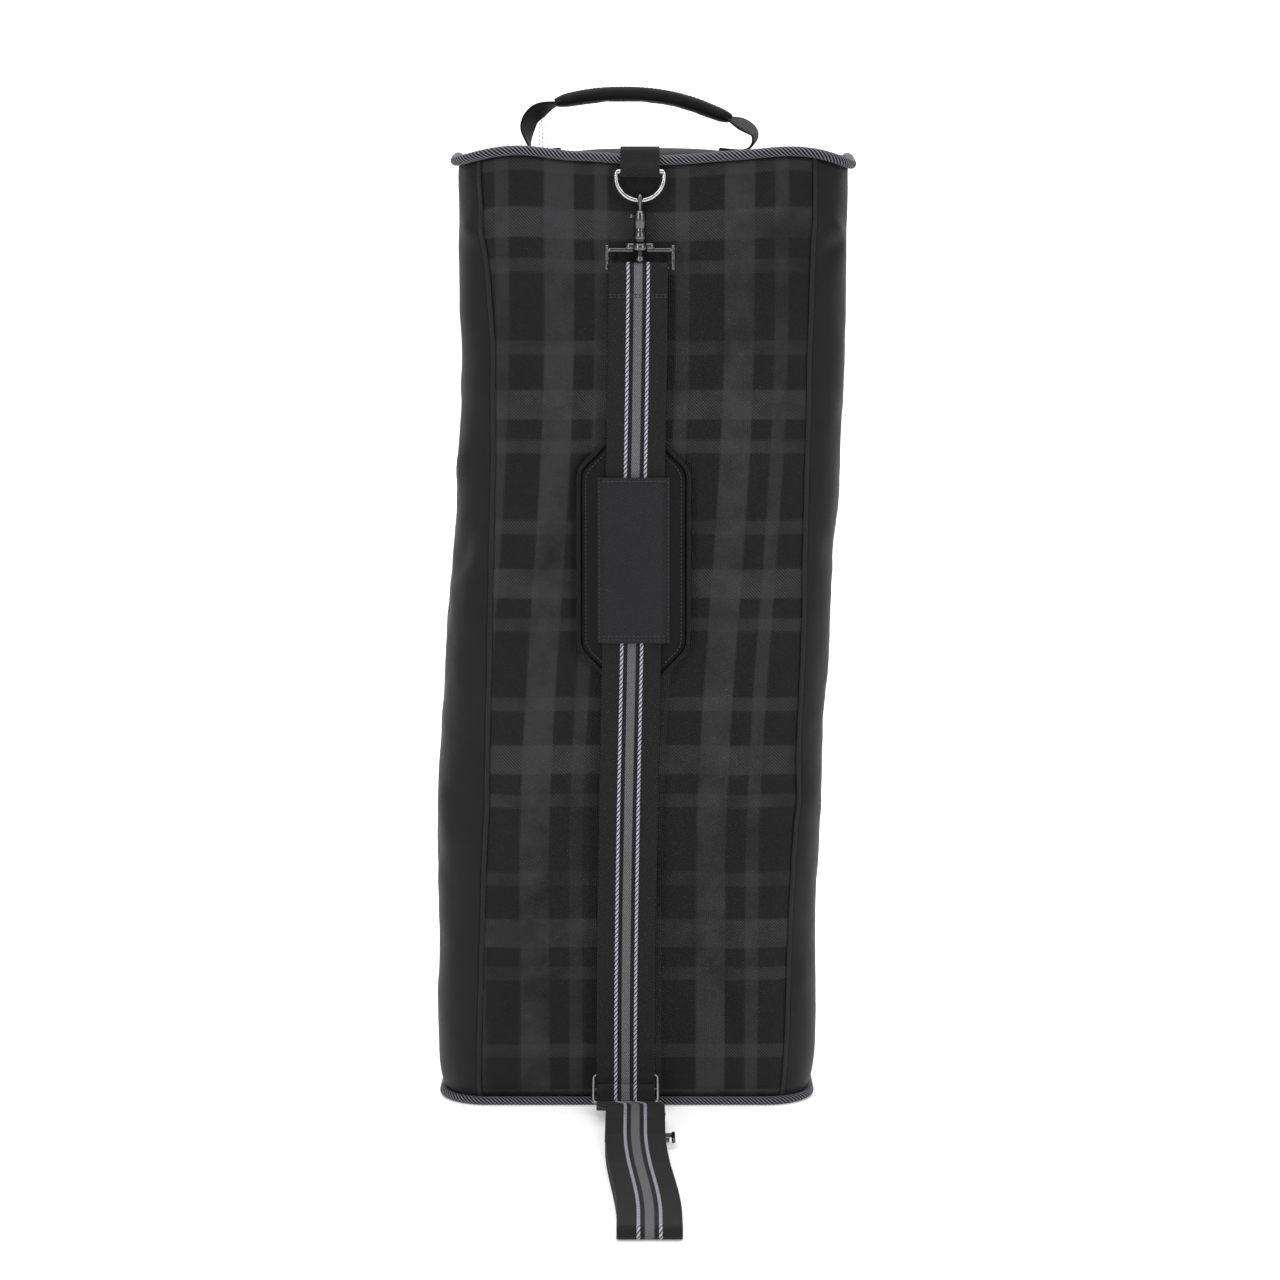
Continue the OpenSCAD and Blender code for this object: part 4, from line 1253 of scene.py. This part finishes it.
def hook_body(name):
    """A cast hook: a round nose, a spine, the barrel of the bolt and the swivel post with its collar rings."""
    sweep_round = np.linspace(math.radians(-128), math.radians(92), 30)
    nose = [(0, -HOOK_R * math.sin(a), HOOK_R * math.cos(a)) for a in sweep_round][::-1]
    spine = [(0, HOOK_R, 0.001), (0, HOOK_R, -0.003), (0, 0.0036, -0.006), (0, 0.0016, -0.0085)]
    path = rounded(nose, 1)
    thick = 0.0011 + 0.0006 * np.linspace(0, 1, len(path))
    parts = [sweep(name + "_nose", path, circle_section(1.0, 12, 1.35), (0.0, 0.3, 1.0), scale=thick)]
    parts.append(sweep(name + "_spine", rounded(spine, 2), circle_section(0.0017, 12, 1.1), (1.0, 0.0, 0.0)))
    barrel = [(-0.0250, 0.0020), (-0.0248, 0.0033), (-0.0238, 0.0038), (-0.0200, 0.0038), (-0.0196, 0.0034),
              (-0.0165, 0.0034), (-0.0160, 0.0038), (-0.0085, 0.0038), (-0.0072, 0.0032), (-0.0060, 0.0019)]
    parts.append(turned(name + "_barrel", barrel, (0, -0.0028, 0), (0, 0, 1)))
    web = [(-0.0255, 0.0026), (-0.0245, 0.0036), (-0.0225, 0.0036), (-0.0215, 0.0024), (-0.0120, 0.0022),
           (-0.0070, 0.0014)]
    parts.append(turned(name + "_web", web, (0, 0.0002, 0), (0, 0, 1)))
    post = [(-0.0388, 0.0012), (-0.0386, 0.0026), (-0.0375, 0.0030), (-0.0358, 0.0030), (-0.0352, 0.0021),
            (-0.0300, 0.0021), (-0.0262, 0.0021), (-0.0258, 0.0034), (-0.0250, 0.0034), (-0.0244, 0.0020)]
    parts.append(turned(name + "_post", post, (0, 0, 0), (0, 0, 1)))
    return joined(name, parts)


def hook_bolt(name):
    shaft = [(-0.0143, 0.0008), (-0.0141, 0.0012), (0.0008, 0.0012), (0.0014, 0.0007)]
    parts = [turned(name + "_shaft", shaft, (0, -HOOK_R, 0), (0, 0, 1), 16)]
    knob = [(0.0008, 0.0009), (0.0046, 0.0009), (0.0049, 0.0014), (0.0056, 0.0016), (0.0063, 0.0014),
            (0.0066, 0.0006)]
    parts.append(turned(name + "_knob", knob, (0, -HOOK_R, -0.010), (-1, 0, 0), 20))
    return joined(name, parts)


def swivel_loop(name):
    """A collar with a domed boss, and a wide flat loop for the strap."""
    collar = [(-0.0320, 0.0030), (-0.0316, 0.0048), (-0.0300, 0.0056), (-0.0276, 0.0050), (-0.0262, 0.0034),
              (-0.0260, 0.0026)]
    parts = [turned(name + "_collar", collar, (0, 0, 0), (0, 0, 1), 28)]
    lug = slab_section(0.0056, 0.0050, 0.0020, 3)
    reach = [(x, 0, -0.0290) for x in np.linspace(-0.0088, 0.0088, 9)]
    parts.append(sweep(name + "_lug", reach, lug, (0.0, 1.0, 0.0)))
    w = FRAME_HALF
    for side in (-1, 1):
        leg = [(side * w, 0, z) for z in np.linspace(-0.0282, -0.0438, 12)]
        parts.append(sweep(f"{name}_leg{side}", leg, slab_section(0.0030, 0.0024, 0.0009, 3), (0.0, 1.0, 0.0)))
        arm = [(side * x, 0, -0.0312) for x in np.linspace(0.0040, w, 8)]
        parts.append(sweep(f"{name}_arm{side}", arm, slab_section(0.0028, 0.0026, 0.0009, 3), (0.0, 1.0, 0.0)))
    bar = [(x, 0, -0.0423) for x in np.linspace(-w + 0.0025, w - 0.0025, 9)]
    parts.append(sweep(name + "_bar", bar, circle_section(WIRE, 14), (0.0, 1.0, 0.0)))
    return joined(name, parts)


def coil_spring(name):
    turns = 9
    a = np.linspace(0, turns * 2 * math.pi, turns * 14)
    z = np.linspace(-0.0238, -0.0150, len(a))
    path = np.stack([0.0007 * np.cos(a), -HOOK_R + 0.0007 * np.sin(a), z], axis=1)
    return sweep(name, path, circle_section(0.00022, 6), (0.0, 0.0, 1.0))


# %% [markdown]
# The two sets are equal, so one loop makes both. Each ring, hook and bolt rides on its own body; the swivel
# loop stays with the bag, because the strap is sewn round it.

# %% Both clip sets
for place_name, frame_of in (("top", on_front), ("low", on_floor)):
    ring = moved_to(d_ring(f"d_ring_{place_name}_metal"), frame_of)
    finish_piece(ring, f"{place_name}_ring", nickel, "bright_nickel", f"d_ring_{place_name}")
    hook = moved_to(hook_body(f"snap_hook_{place_name}_metal"), frame_of)
    finish_piece(hook, f"{place_name}_hook", gunmetal, "dark_metal", f"snap_hook_{place_name}")
    bolt = moved_to(hook_bolt(f"snap_bolt_{place_name}_metal"), frame_of)
    finish_piece(bolt, f"{place_name}_bolt", gunmetal, "dark_metal", f"snap_bolt_{place_name}")
    spring = moved_to(coil_spring(f"bolt_spring_{place_name}_wire"), frame_of)
    finish_piece(spring, f"{place_name}_hook", spring_steel, "spring_steel", f"bolt_spring_{place_name}")
    swivel = moved_to(swivel_loop(f"strap_loop_{place_name}_metal"), frame_of)
    finish_piece(swivel, "bag", gunmetal, "dark_metal", f"strap_loop_{place_name}")
print("clip sets at the top and on the floor")

# %% [markdown]
# ## Shoulder strap
# The strap is one long band of webbing. It is sewn round the upper loop, runs down the front and through the
# slider, folds back on the floor to the lower loop, and comes back to the slider's middle bar. The path is
# worked out from the bars it goes round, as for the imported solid, and then its corners are rounded.

# %% Path of the strap
STRAP_W = 0.038
STRAP_T = 1.5
LAYER = 1.8
WRAP = 2.6
TILT_DEGREES = 41
TILT = math.radians(TILT_DEGREES)
RISE = 30
STRAP_TAIL = 3.2
PITCH = 10.6
SLIDER_OUT = 24.0
LOW_LOOP_OUT = 98.05
STRAP_OUT = 7.9
BAR_Z = 550.95
FOLD_R = 3.7
STACK_Z = 1.05
FOLD_Z = STACK_Z + FOLD_R
HUMP_Z = 13.6
slider_down = np.array([-math.cos(TILT), -math.sin(TILT)])
slider_front = np.array([-math.sin(TILT), math.cos(TILT)])


def out_mm(distance, height):
    return np.array([-65.0 - distance, height])


def arc_mm(centre, radius, start, stop, count):
    angles = np.radians(np.linspace(start, stop, count + 1))
    return [np.asarray(centre) + radius * np.array([math.cos(a), math.sin(a)]) for a in angles]


slider_low = out_mm(SLIDER_OUT, STACK_Z + 3 * LAYER + WRAP)
slider_mid = slider_low - PITCH * slider_down


def slider_arc(shift, radius, start, stop, count):
    """An arc in the slider's own frame: along its plane, and out of it."""
    arc = arc_mm((shift, 0), radius, start, stop, count)
    return [slider_mid + p[0] * slider_down + p[1] * slider_front for p in arc]


cross_top = math.degrees(math.asin((2 * WRAP + LAYER) / PITCH))
cross_low = math.degrees(math.asin(2 * WRAP / PITCH))
leave = 270 + TILT_DEGREES + RISE
ride_z = LOW_Z * 1000 + WRAP + LAYER + 0.3
rise_angle = math.radians(RISE)
climb = ride_z - slider_low[1] + (WRAP + LAYER) * math.cos(rise_angle)
ride_out = SLIDER_OUT + (WRAP + LAYER) * 0.5 + climb / math.tan(rise_angle)
FLOOR_END = 280.0
down_the_front = [out_mm(LOOP_OUT * 1000 - LAYER / 2, BAR_Z - 18), out_mm(LOOP_OUT * 1000 - LAYER / 2, BAR_Z - 9)]
down_the_front += arc_mm(out_mm(LOOP_OUT * 1000, BAR_Z), WRAP, 0, 180, 8)
down_the_front += [out_mm(STRAP_OUT, z) for z in (BAR_Z - 9, 400, 250, 100, 60, 44)]
through_slider = slider_arc(-PITCH, WRAP, 90, 90 - cross_top, 3)
through_slider += slider_arc(0, WRAP + LAYER, 270 - cross_top, 270, 3)
through_slider += slider_arc(PITCH, WRAP + LAYER, 270, leave, 4)
over_the_hook = [out_mm(ride_out, ride_z), out_mm(51.75, HUMP_Z), out_mm(LOW_LOOP_OUT - 14, HUMP_Z)]
over_the_hook += [out_mm(LOW_LOOP_OUT + 10, FOLD_Z + 4.8), out_mm(LOW_LOOP_OUT + 60, FOLD_Z + FOLD_R - LAYER)]
over_the_hook += [out_mm(FLOOR_END, FOLD_Z + FOLD_R - LAYER)]
over_the_hook += arc_mm(out_mm(FLOOR_END, FOLD_Z), FOLD_R - LAYER, 90, 270, 8)
to_the_loop = [out_mm(LOW_LOOP_OUT + 24, FOLD_Z - FOLD_R + LAYER)]
to_the_loop += arc_mm(out_mm(LOW_LOOP_OUT, LOW_Z * 1000), WRAP, 90, -90, 8) + [out_mm(LOW_LOOP_OUT + 20, STACK_Z)]
way_back = arc_mm(out_mm(FLOOR_END, FOLD_Z), FOLD_R, 270, 90, 12)
way_back += [out_mm(LOW_LOOP_OUT + 60, FOLD_Z + FOLD_R), out_mm(LOW_LOOP_OUT + 10, FOLD_Z + 4.8 + LAYER)]
way_back += [out_mm(LOW_LOOP_OUT - 14, HUMP_Z + LAYER), out_mm(51.75, HUMP_Z + LAYER)]
way_back += [out_mm(ride_out - 0.36 * LAYER, ride_z + 0.95 * LAYER)]
way_back += slider_arc(PITCH, WRAP, leave, 270 - cross_low, 5) + slider_arc(0, WRAP, 90 - cross_low, 270, 8)
way_back += [slider_mid + STRAP_TAIL * slider_down - WRAP * slider_front]
side_view = np.array(down_the_front + through_slider + over_the_hook + to_the_loop + way_back) * MM
side_view = resampled(rounded(resampled(side_view, 0.0012), 2), 0.0012)


def drift(points):
    """The strap hangs a little to the side: X of its middle line at every point of its side view."""
    y, z = points[:, 0], points[:, 1]
    hanging = -0.0085 * smoothstep(0.60, 0.02, z) - 0.001
    floor_out = -HALF_D - y
    return hanging + (0.0065 + 0.0085 * smoothstep(0.10, 0.26, floor_out)) * smoothstep(0.030, 0.055, floor_out)


def band_path(shift_out=0.0):
    t = tangents(np.stack([0 * side_view[:, 0], side_view[:, 0], side_view[:, 1]], axis=1))
    normal = np.stack([0 * t[:, 0], -t[:, 2], t[:, 1]], axis=1)
    path = np.stack([drift(side_view), side_view[:, 0], side_view[:, 1]], axis=1)
    return path + normal * shift_out, normal


strap_path, _ = band_path()
strap = ribbon("shoulder_strap_band", strap_path, STRAP_W, STRAP_T * MM, (1.0, 0.0, 0.0))
finish_piece(strap, "bag", strap_web, "strap_webbing", "strap_webbing")

# %% [markdown]
# Two pale cords lie in channels along each face of the strap. Each is a flattened two-strand twist, swept along
# the strap's own line so that it goes over every bar with it.

# %% Twisted cords woven into the strap
cords = []
for face_side in (-1, 1):
    for across in (-STRIPE_HALF, STRIPE_HALF):
        line, _ = band_path(face_side * (STRAP_T / 2 * MM + 0.00005))
        line = resampled(line + np.array([across, 0, 0]), 0.0011)
        twist = (2.0, CORD_LEAD, 0.20)
        name = f"cord_{face_side}_{across}"
        cords.append(sweep(name, line, circle_section(0.00105, 8, 0.42), (1.0, 0.0, 0.0), lobes=twist))
stripe_cords = joined("strap_cords", cords)
for vertex in stripe_cords.data.vertices:
    vertex.co.z = max(vertex.co.z, 0.0001)
finish_piece(stripe_cords, "bag", stripe_cord, "strap_webbing")
print("cords", len(stripe_cords.data.polygons), "faces")

# %% [markdown]
# The slider is a bent wire frame with a bar across its middle. The strap goes over both outer bars, and its end
# is sewn round the middle one, which is why the loop on the floor can be made longer or shorter.

# %% Strap slider
slider_x = float(drift(slider_mid[None] * MM)[0])


def slider_point(x, down):
    p = (slider_mid + down * slider_down) * MM
    return (slider_x + x, p[0], p[1])


half = FRAME_HALF
cut_off = 0.0016
frame_corners = [(half, -PITCH + 1.6), (half, PITCH - 1.6), (half - cut_off, PITCH), (-half + cut_off, PITCH),
                 (-half, PITCH - 1.6), (-half, -PITCH + 1.6), (-half + cut_off, -PITCH), (half - cut_off, -PITCH)]
frame_line = [slider_point(x, down) for x, down in frame_corners]
frame_loop = np.array(frame_line + frame_line[:1])
frame_loop = resampled(frame_loop, 0.0011)[:-1]
frame_side = np.broadcast_to(np.array([0, slider_front[0], slider_front[1]]), frame_loop.shape)
slider_parts = [sweep("slider_frame", frame_loop, circle_section(WIRE, 14), frame_side, closed=True)]
bar_line = [slider_point(x, 0) for x in np.linspace(-half, half, 12)]
slider_parts.append(sweep("slider_bar", bar_line, circle_section(0.0013, 14), (0.0, 1.0, 0.0)))
strap_slider = joined("strap_slider_metal", slider_parts)
finish_piece(strap_slider, "bag", gunmetal, "dark_metal", "strap_slider")
print("slider at", [round(v, 4) for v in slider_point(0, 0)])

# %% [markdown]
# ## Ring tabs
# Each D-ring hangs in a loop of narrow webbing that is caught in the seam. The upper one folds over the piping.

# %% Ring tabs
RING_BAR_Z = 611.5
TAB_W = 0.025


def tab(name, points_mm, *nodes):
    line = resampled(rounded(np.array(points_mm) * MM, 2), 0.0009)
    line = np.stack([0 * line[:, 0], line[:, 0], line[:, 1]], axis=1)
    made = ribbon(name, line, TAB_W, 0.0015, (1.0, 0.0, 0.0))
    return finish_piece(made, "bag", webbing, "webbing", *nodes)


bar = LOOP_OUT * 1000
tab_top = [out_mm(0.75, 614), out_mm(0.75, 617), out_mm(bar - WRAP, RING_BAR_Z + 1)]
tab_top += arc_mm(out_mm(bar, RING_BAR_Z), WRAP, 0, -180, 10)
tab_top += [out_mm(bar + WRAP - 0.2, RING_BAR_Z + 3), out_mm(bar + 0.9, 617), out_mm(6.9, 621.0)]
tab_top += [out_mm(6.2, 625.2), out_mm(2.2, 627.2), out_mm(-4.0, 625.6), out_mm(-9.0, 626.6)]
tab("ring_tab_top_band", tab_top, "ring_tab_top")
low_bar = 37.5
fall = LOW_Z * 1000 + WRAP * math.cos(rise_angle) - STACK_Z - LAYER
join_out = low_bar - WRAP * 0.5 - fall / math.tan(rise_angle)
tab_low = [out_mm(4.5, STACK_Z), out_mm(low_bar - 8, STACK_Z)] + arc_mm(out_mm(low_bar, LOW_Z * 1000), WRAP, -90, -270 - RISE, 12)
tab_low += [out_mm(join_out, STACK_Z + LAYER), out_mm(5.6, STACK_Z + LAYER)]
tab("ring_tab_low_band", tab_low, "ring_tab_low")

strap_rows = []
for z in (0.5322, 0.5338):
    x0 = float(drift(np.array([[FRONT_Y - STRAP_OUT * MM, z]]))[0])
    y = FRONT_Y - STRAP_OUT * MM - STRAP_T / 2 * MM
    strap_rows.append(seam_run([(x0 - 0.0175, y, z), (x0 + 0.0175, y, z)], (0.0, -1.0, 0.0)))
strap_stitches = set_along("strap_fold_stitches", strap_rows, stitch_shape, 0.0026, thread)
finish_piece(strap_stitches, "bag", thread, "strap_webbing")
print("tabs and strap stitches made")

# %% [markdown]
# ## Shoulder pad
# The pad is an eight-sided piece of foam in a soft cover with a bound edge. A sleeve of heavy ballistic cloth is
# sewn across it, and the strap runs through that sleeve, so the pad slides up and down the strap.

# %% Pad, binding and sleeve
PAD_Z, PAD_LEN, PAD_W, PAD_CUT = 0.285, 0.157, 0.072, 0.020
PAD_MID = PAD_Z + PAD_LEN / 2
PAD_BACK = FRONT_Y - 0.0008
PAD_T = 0.006
PAD_ROUND = 0.006
pad_x = float(drift(np.array([[FRONT_Y - STRAP_OUT * MM, PAD_MID]]))[0])


def pad_outline(inset):
    """The eight-sided outline with its corners rounded, as x and z round its middle."""
    w, h, c = PAD_W / 2 - inset, PAD_LEN / 2 - inset, PAD_CUT - inset * 0.586
    right = [(w, -h + c), (w, h - c), (w - c, h), (-w + c, h)]
    corners = right + [(-x, -z) for x, z in right]
    loop = []
    for k, point in enumerate(corners):
        before, after = np.array(corners[k - 1]), np.array(corners[(k + 1) % 8])
        point = np.array(point)
        a = point + (before - point) / np.linalg.norm(before - point) * PAD_ROUND
        b = point + (after - point) / np.linalg.norm(after - point) * PAD_ROUND
        for t in np.linspace(0, 1, 7):
            loop.append(a * (1 - t) ** 2 + 2 * point * t * (1 - t) + b * t ** 2)
    loop = np.array(loop + loop[:1])
    return resampled(loop, 0.002)[:-1]


def pad_rings():
    rings = []
    half_size = np.array([PAD_W / 2, PAD_LEN / 2])
    for inset, y in ((0.034, 0.0012), (0.012, 0.0012), (0.0030, 0.0014), (0.0015, 0.0024), (0.0015, 0.0036),
                     (0.0030, 0.0046), (0.012, 0.0048), (0.034, 0.0048)):
        loop = pad_outline(0.0015)
        loop = loop * (half_size - inset) / (half_size - 0.0015)
        rings.append(np.stack([loop[:, 0] + pad_x, np.full(len(loop), PAD_BACK - y), loop[:, 1] + PAD_MID], axis=1))
    return np.array(rings)


pad = outwards(grid_mesh("shoulder_pad_foam", pad_rings(), wrap_cols=True, caps=True))
pad = inflated(pad, 0.0018, 2.2, 0.0011)
pad_weave = object_cloth("pad_weave", 0.0028, 0.0085, 0.0012, 0.75)
finish_piece(pad, "shoulder_pad", pad_weave, "pad_cloth", "shoulder_pad")

edge = pad_outline(0.0005)
edge = np.stack([edge[:, 0] + pad_x, np.full(len(edge), PAD_BACK - PAD_T / 2), edge[:, 1] + PAD_MID], axis=1)
pad_edge = sweep("pad_binding", edge, slab_section(0.0056, 0.0026, 0.0012, 3), (0.0, 1.0, 0.0), closed=True)
finish_piece(pad_edge, "shoulder_pad", bound_cloth, "pad_cloth")
row = pad_outline(0.0052)
row = np.stack([row[:, 0] + pad_x, np.full(len(row), PAD_BACK - PAD_T), row[:, 1] + PAD_MID], axis=1)
pad_row = [laid_on(pad, np.vstack([row, row[:1]]), (0.0, -1.0, 0.0))]
pad_stitches = set_along("pad_stitches", pad_row, stitch_shape, 0.0026, thread)
finish_piece(pad_stitches, "shoulder_pad", thread, "pad_cloth")

SLEEVE_LEN, SLEEVE_W = 0.107, 0.0467
sleeve_z = np.linspace(PAD_MID - SLEEVE_LEN / 2, PAD_MID + SLEEVE_LEN / 2, 64)
sleeve_x = np.linspace(-SLEEVE_W / 2, SLEEVE_W / 2, 48)
rise = smoothstep(SLEEVE_W / 2 - 0.0012, SLEEVE_W / 2 - 0.0052, np.abs(sleeve_x))
flat_y = FRONT_Y - 0.0068 - 0.0004
sx, sz = np.meshgrid(sleeve_x, sleeve_z)
spot = np.stack([sx, sz, 0 * sx], axis=-1)
billow = wander(spot, 45.0, 41) * 0.00045 + wander(spot * np.array([0.4, 1.0, 1.0]), 120.0, 42) * 0.0002 + 0.0003
end_roll = hump(np.abs(sz - PAD_MID), 0.0006, SLEEVE_LEN / 2, 0.004)
sy = flat_y - rise[None] * (0.0030 + billow) - end_roll * rise[None]
sleeve = grid_mesh("pad_sleeve_cloth", np.stack([sx + pad_x, sy, sz], axis=-1), np.stack([sx, sz], axis=-1))
thicken(sleeve, 0.0008, offset=-1.0)
finish_piece(sleeve, "shoulder_pad", sleeve_cloth, "sleeve_cloth", "pad_sleeve")
sleeve_runs = []
for side in (-1, 1):
    x = pad_x + side * (SLEEVE_W / 2 - 0.0012)
    line = [(x, flat_y, sleeve_z[0] + 0.001), (x, flat_y, sleeve_z[-1] - 0.001)]
    sleeve_runs.append(laid_on(sleeve, line, (0.0, -1.0, 0.0)))
for z in (sleeve_z[0] + 0.0022, sleeve_z[0] + 0.0046, sleeve_z[-1] - 0.0022):
    line = [(pad_x - 0.0190, flat_y, z), (pad_x + 0.0190, flat_y, z)]
    sleeve_runs.append(laid_on(sleeve, line, (0.0, -1.0, 0.0)))
sleeve_stitches = set_along("sleeve_stitches", sleeve_runs, stitch_shape, 0.0026, thread)
finish_piece(sleeve_stitches, "shoulder_pad", thread, "sleeve_cloth")
print("pad", len(pad.data.polygons), "faces, sleeve", len(sleeve.data.polygons))

# %% [markdown]
# ## Zip slider and pull
# The small metal parts of the zip are simple stampings, and the design already gives their real shape. They
# only need the gunmetal finish. The stitch that every row copied has done its work and is removed.

# %% Zip hardware
for name in ("zip_slider", "zip_pull", "zip_stops"):
    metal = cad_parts[name]
    metal.data.materials.clear()
    metal.data.materials.append(gunmetal)
bpy.data.objects.remove(stitch_shape)
print("zip hardware painted")

# %% [markdown]
# ## Stage
# A white sweep of paper hides the horizon. A wide box overhead fills the shadows, two tall boxes draw soft
# lines down the folds, and a fourth lights the paper behind. The camera looks down a little from the front.

# %% Stage, light and camera
BEND_AT, BEND_R = 1.6, 0.9
LENS_MM = 87.33
CAMERA_AT = (0.0, -2.065, 0.56)
LOOKS_DOWN = 7.1
bend = [(BEND_AT + BEND_R * math.sin(a), BEND_R - BEND_R * math.cos(a)) for a in np.linspace(0, math.pi / 2, 16)[1:]]
sweep_line = [(-6.0, 0.0), (BEND_AT, 0.0)] + bend + [(2.5, 3.2)]
floor = grid_mesh("studio_sweep", [[(x, y, z) for x in (-4.0, 4.0)] for y, z in sweep_line], flip=True)
paper = Finish("pale_paper", 0.9, Specular_IOR_Level=0.1, Emission_Strength=0.30)
paper.colour(paper.mix(paper.noise(3.0), (0.84, 0.84, 0.845, 1.0), (0.86, 0.86, 0.862, 1.0)))
paper.shader.inputs["Emission Color"].default_value = (1.0, 1.0, 1.0, 1.0)
floor.data.materials.append(paper.material)


def soft_box(name, place_at, aim, size, power):
    light = bpy.data.lights.new(name, "AREA")
    light.shape = "RECTANGLE"
    light.size, light.size_y = size
    light.energy = power
    lamp = bpy.data.objects.new(name, light)
    lamp.location = place_at
    lamp.rotation_euler = (Vector(aim) - Vector(place_at)).to_track_quat("-Z", "Y").to_euler()
    bpy.context.scene.collection.objects.link(lamp)


soft_box("over", (0.0, -0.2, 2.6), (0.0, 0.1, 0.0), (2.6, 2.6), 62)
soft_box("left", (-1.35, -2.0, 1.25), (0.0, 0.0, 0.33), (0.40, 1.7), 20)
soft_box("right", (1.45, -1.85, 1.15), (0.0, 0.0, 0.33), (0.40, 1.7), 15)
soft_box("wall", (0.0, 0.9, 2.9), (0.0, 2.5, 1.0), (3.0, 0.8), 40)
world = bpy.data.worlds.new("room")
world.use_nodes = True
world.node_tree.nodes["Background"].inputs[0].default_value = (1.0, 1.0, 1.0, 1.0)
world.node_tree.nodes["Background"].inputs[1].default_value = 0.30
bpy.context.scene.world = world
bpy.context.scene.view_settings.view_transform = "Standard"

lens = bpy.data.cameras.new("camera")
lens.lens = LENS_MM
camera = bpy.data.objects.new("camera", lens)
camera.location = CAMERA_AT
camera.rotation_euler = (math.radians(90 - LOOKS_DOWN), 0, 0)
bpy.context.scene.collection.objects.link(camera)
bpy.context.scene.camera = camera
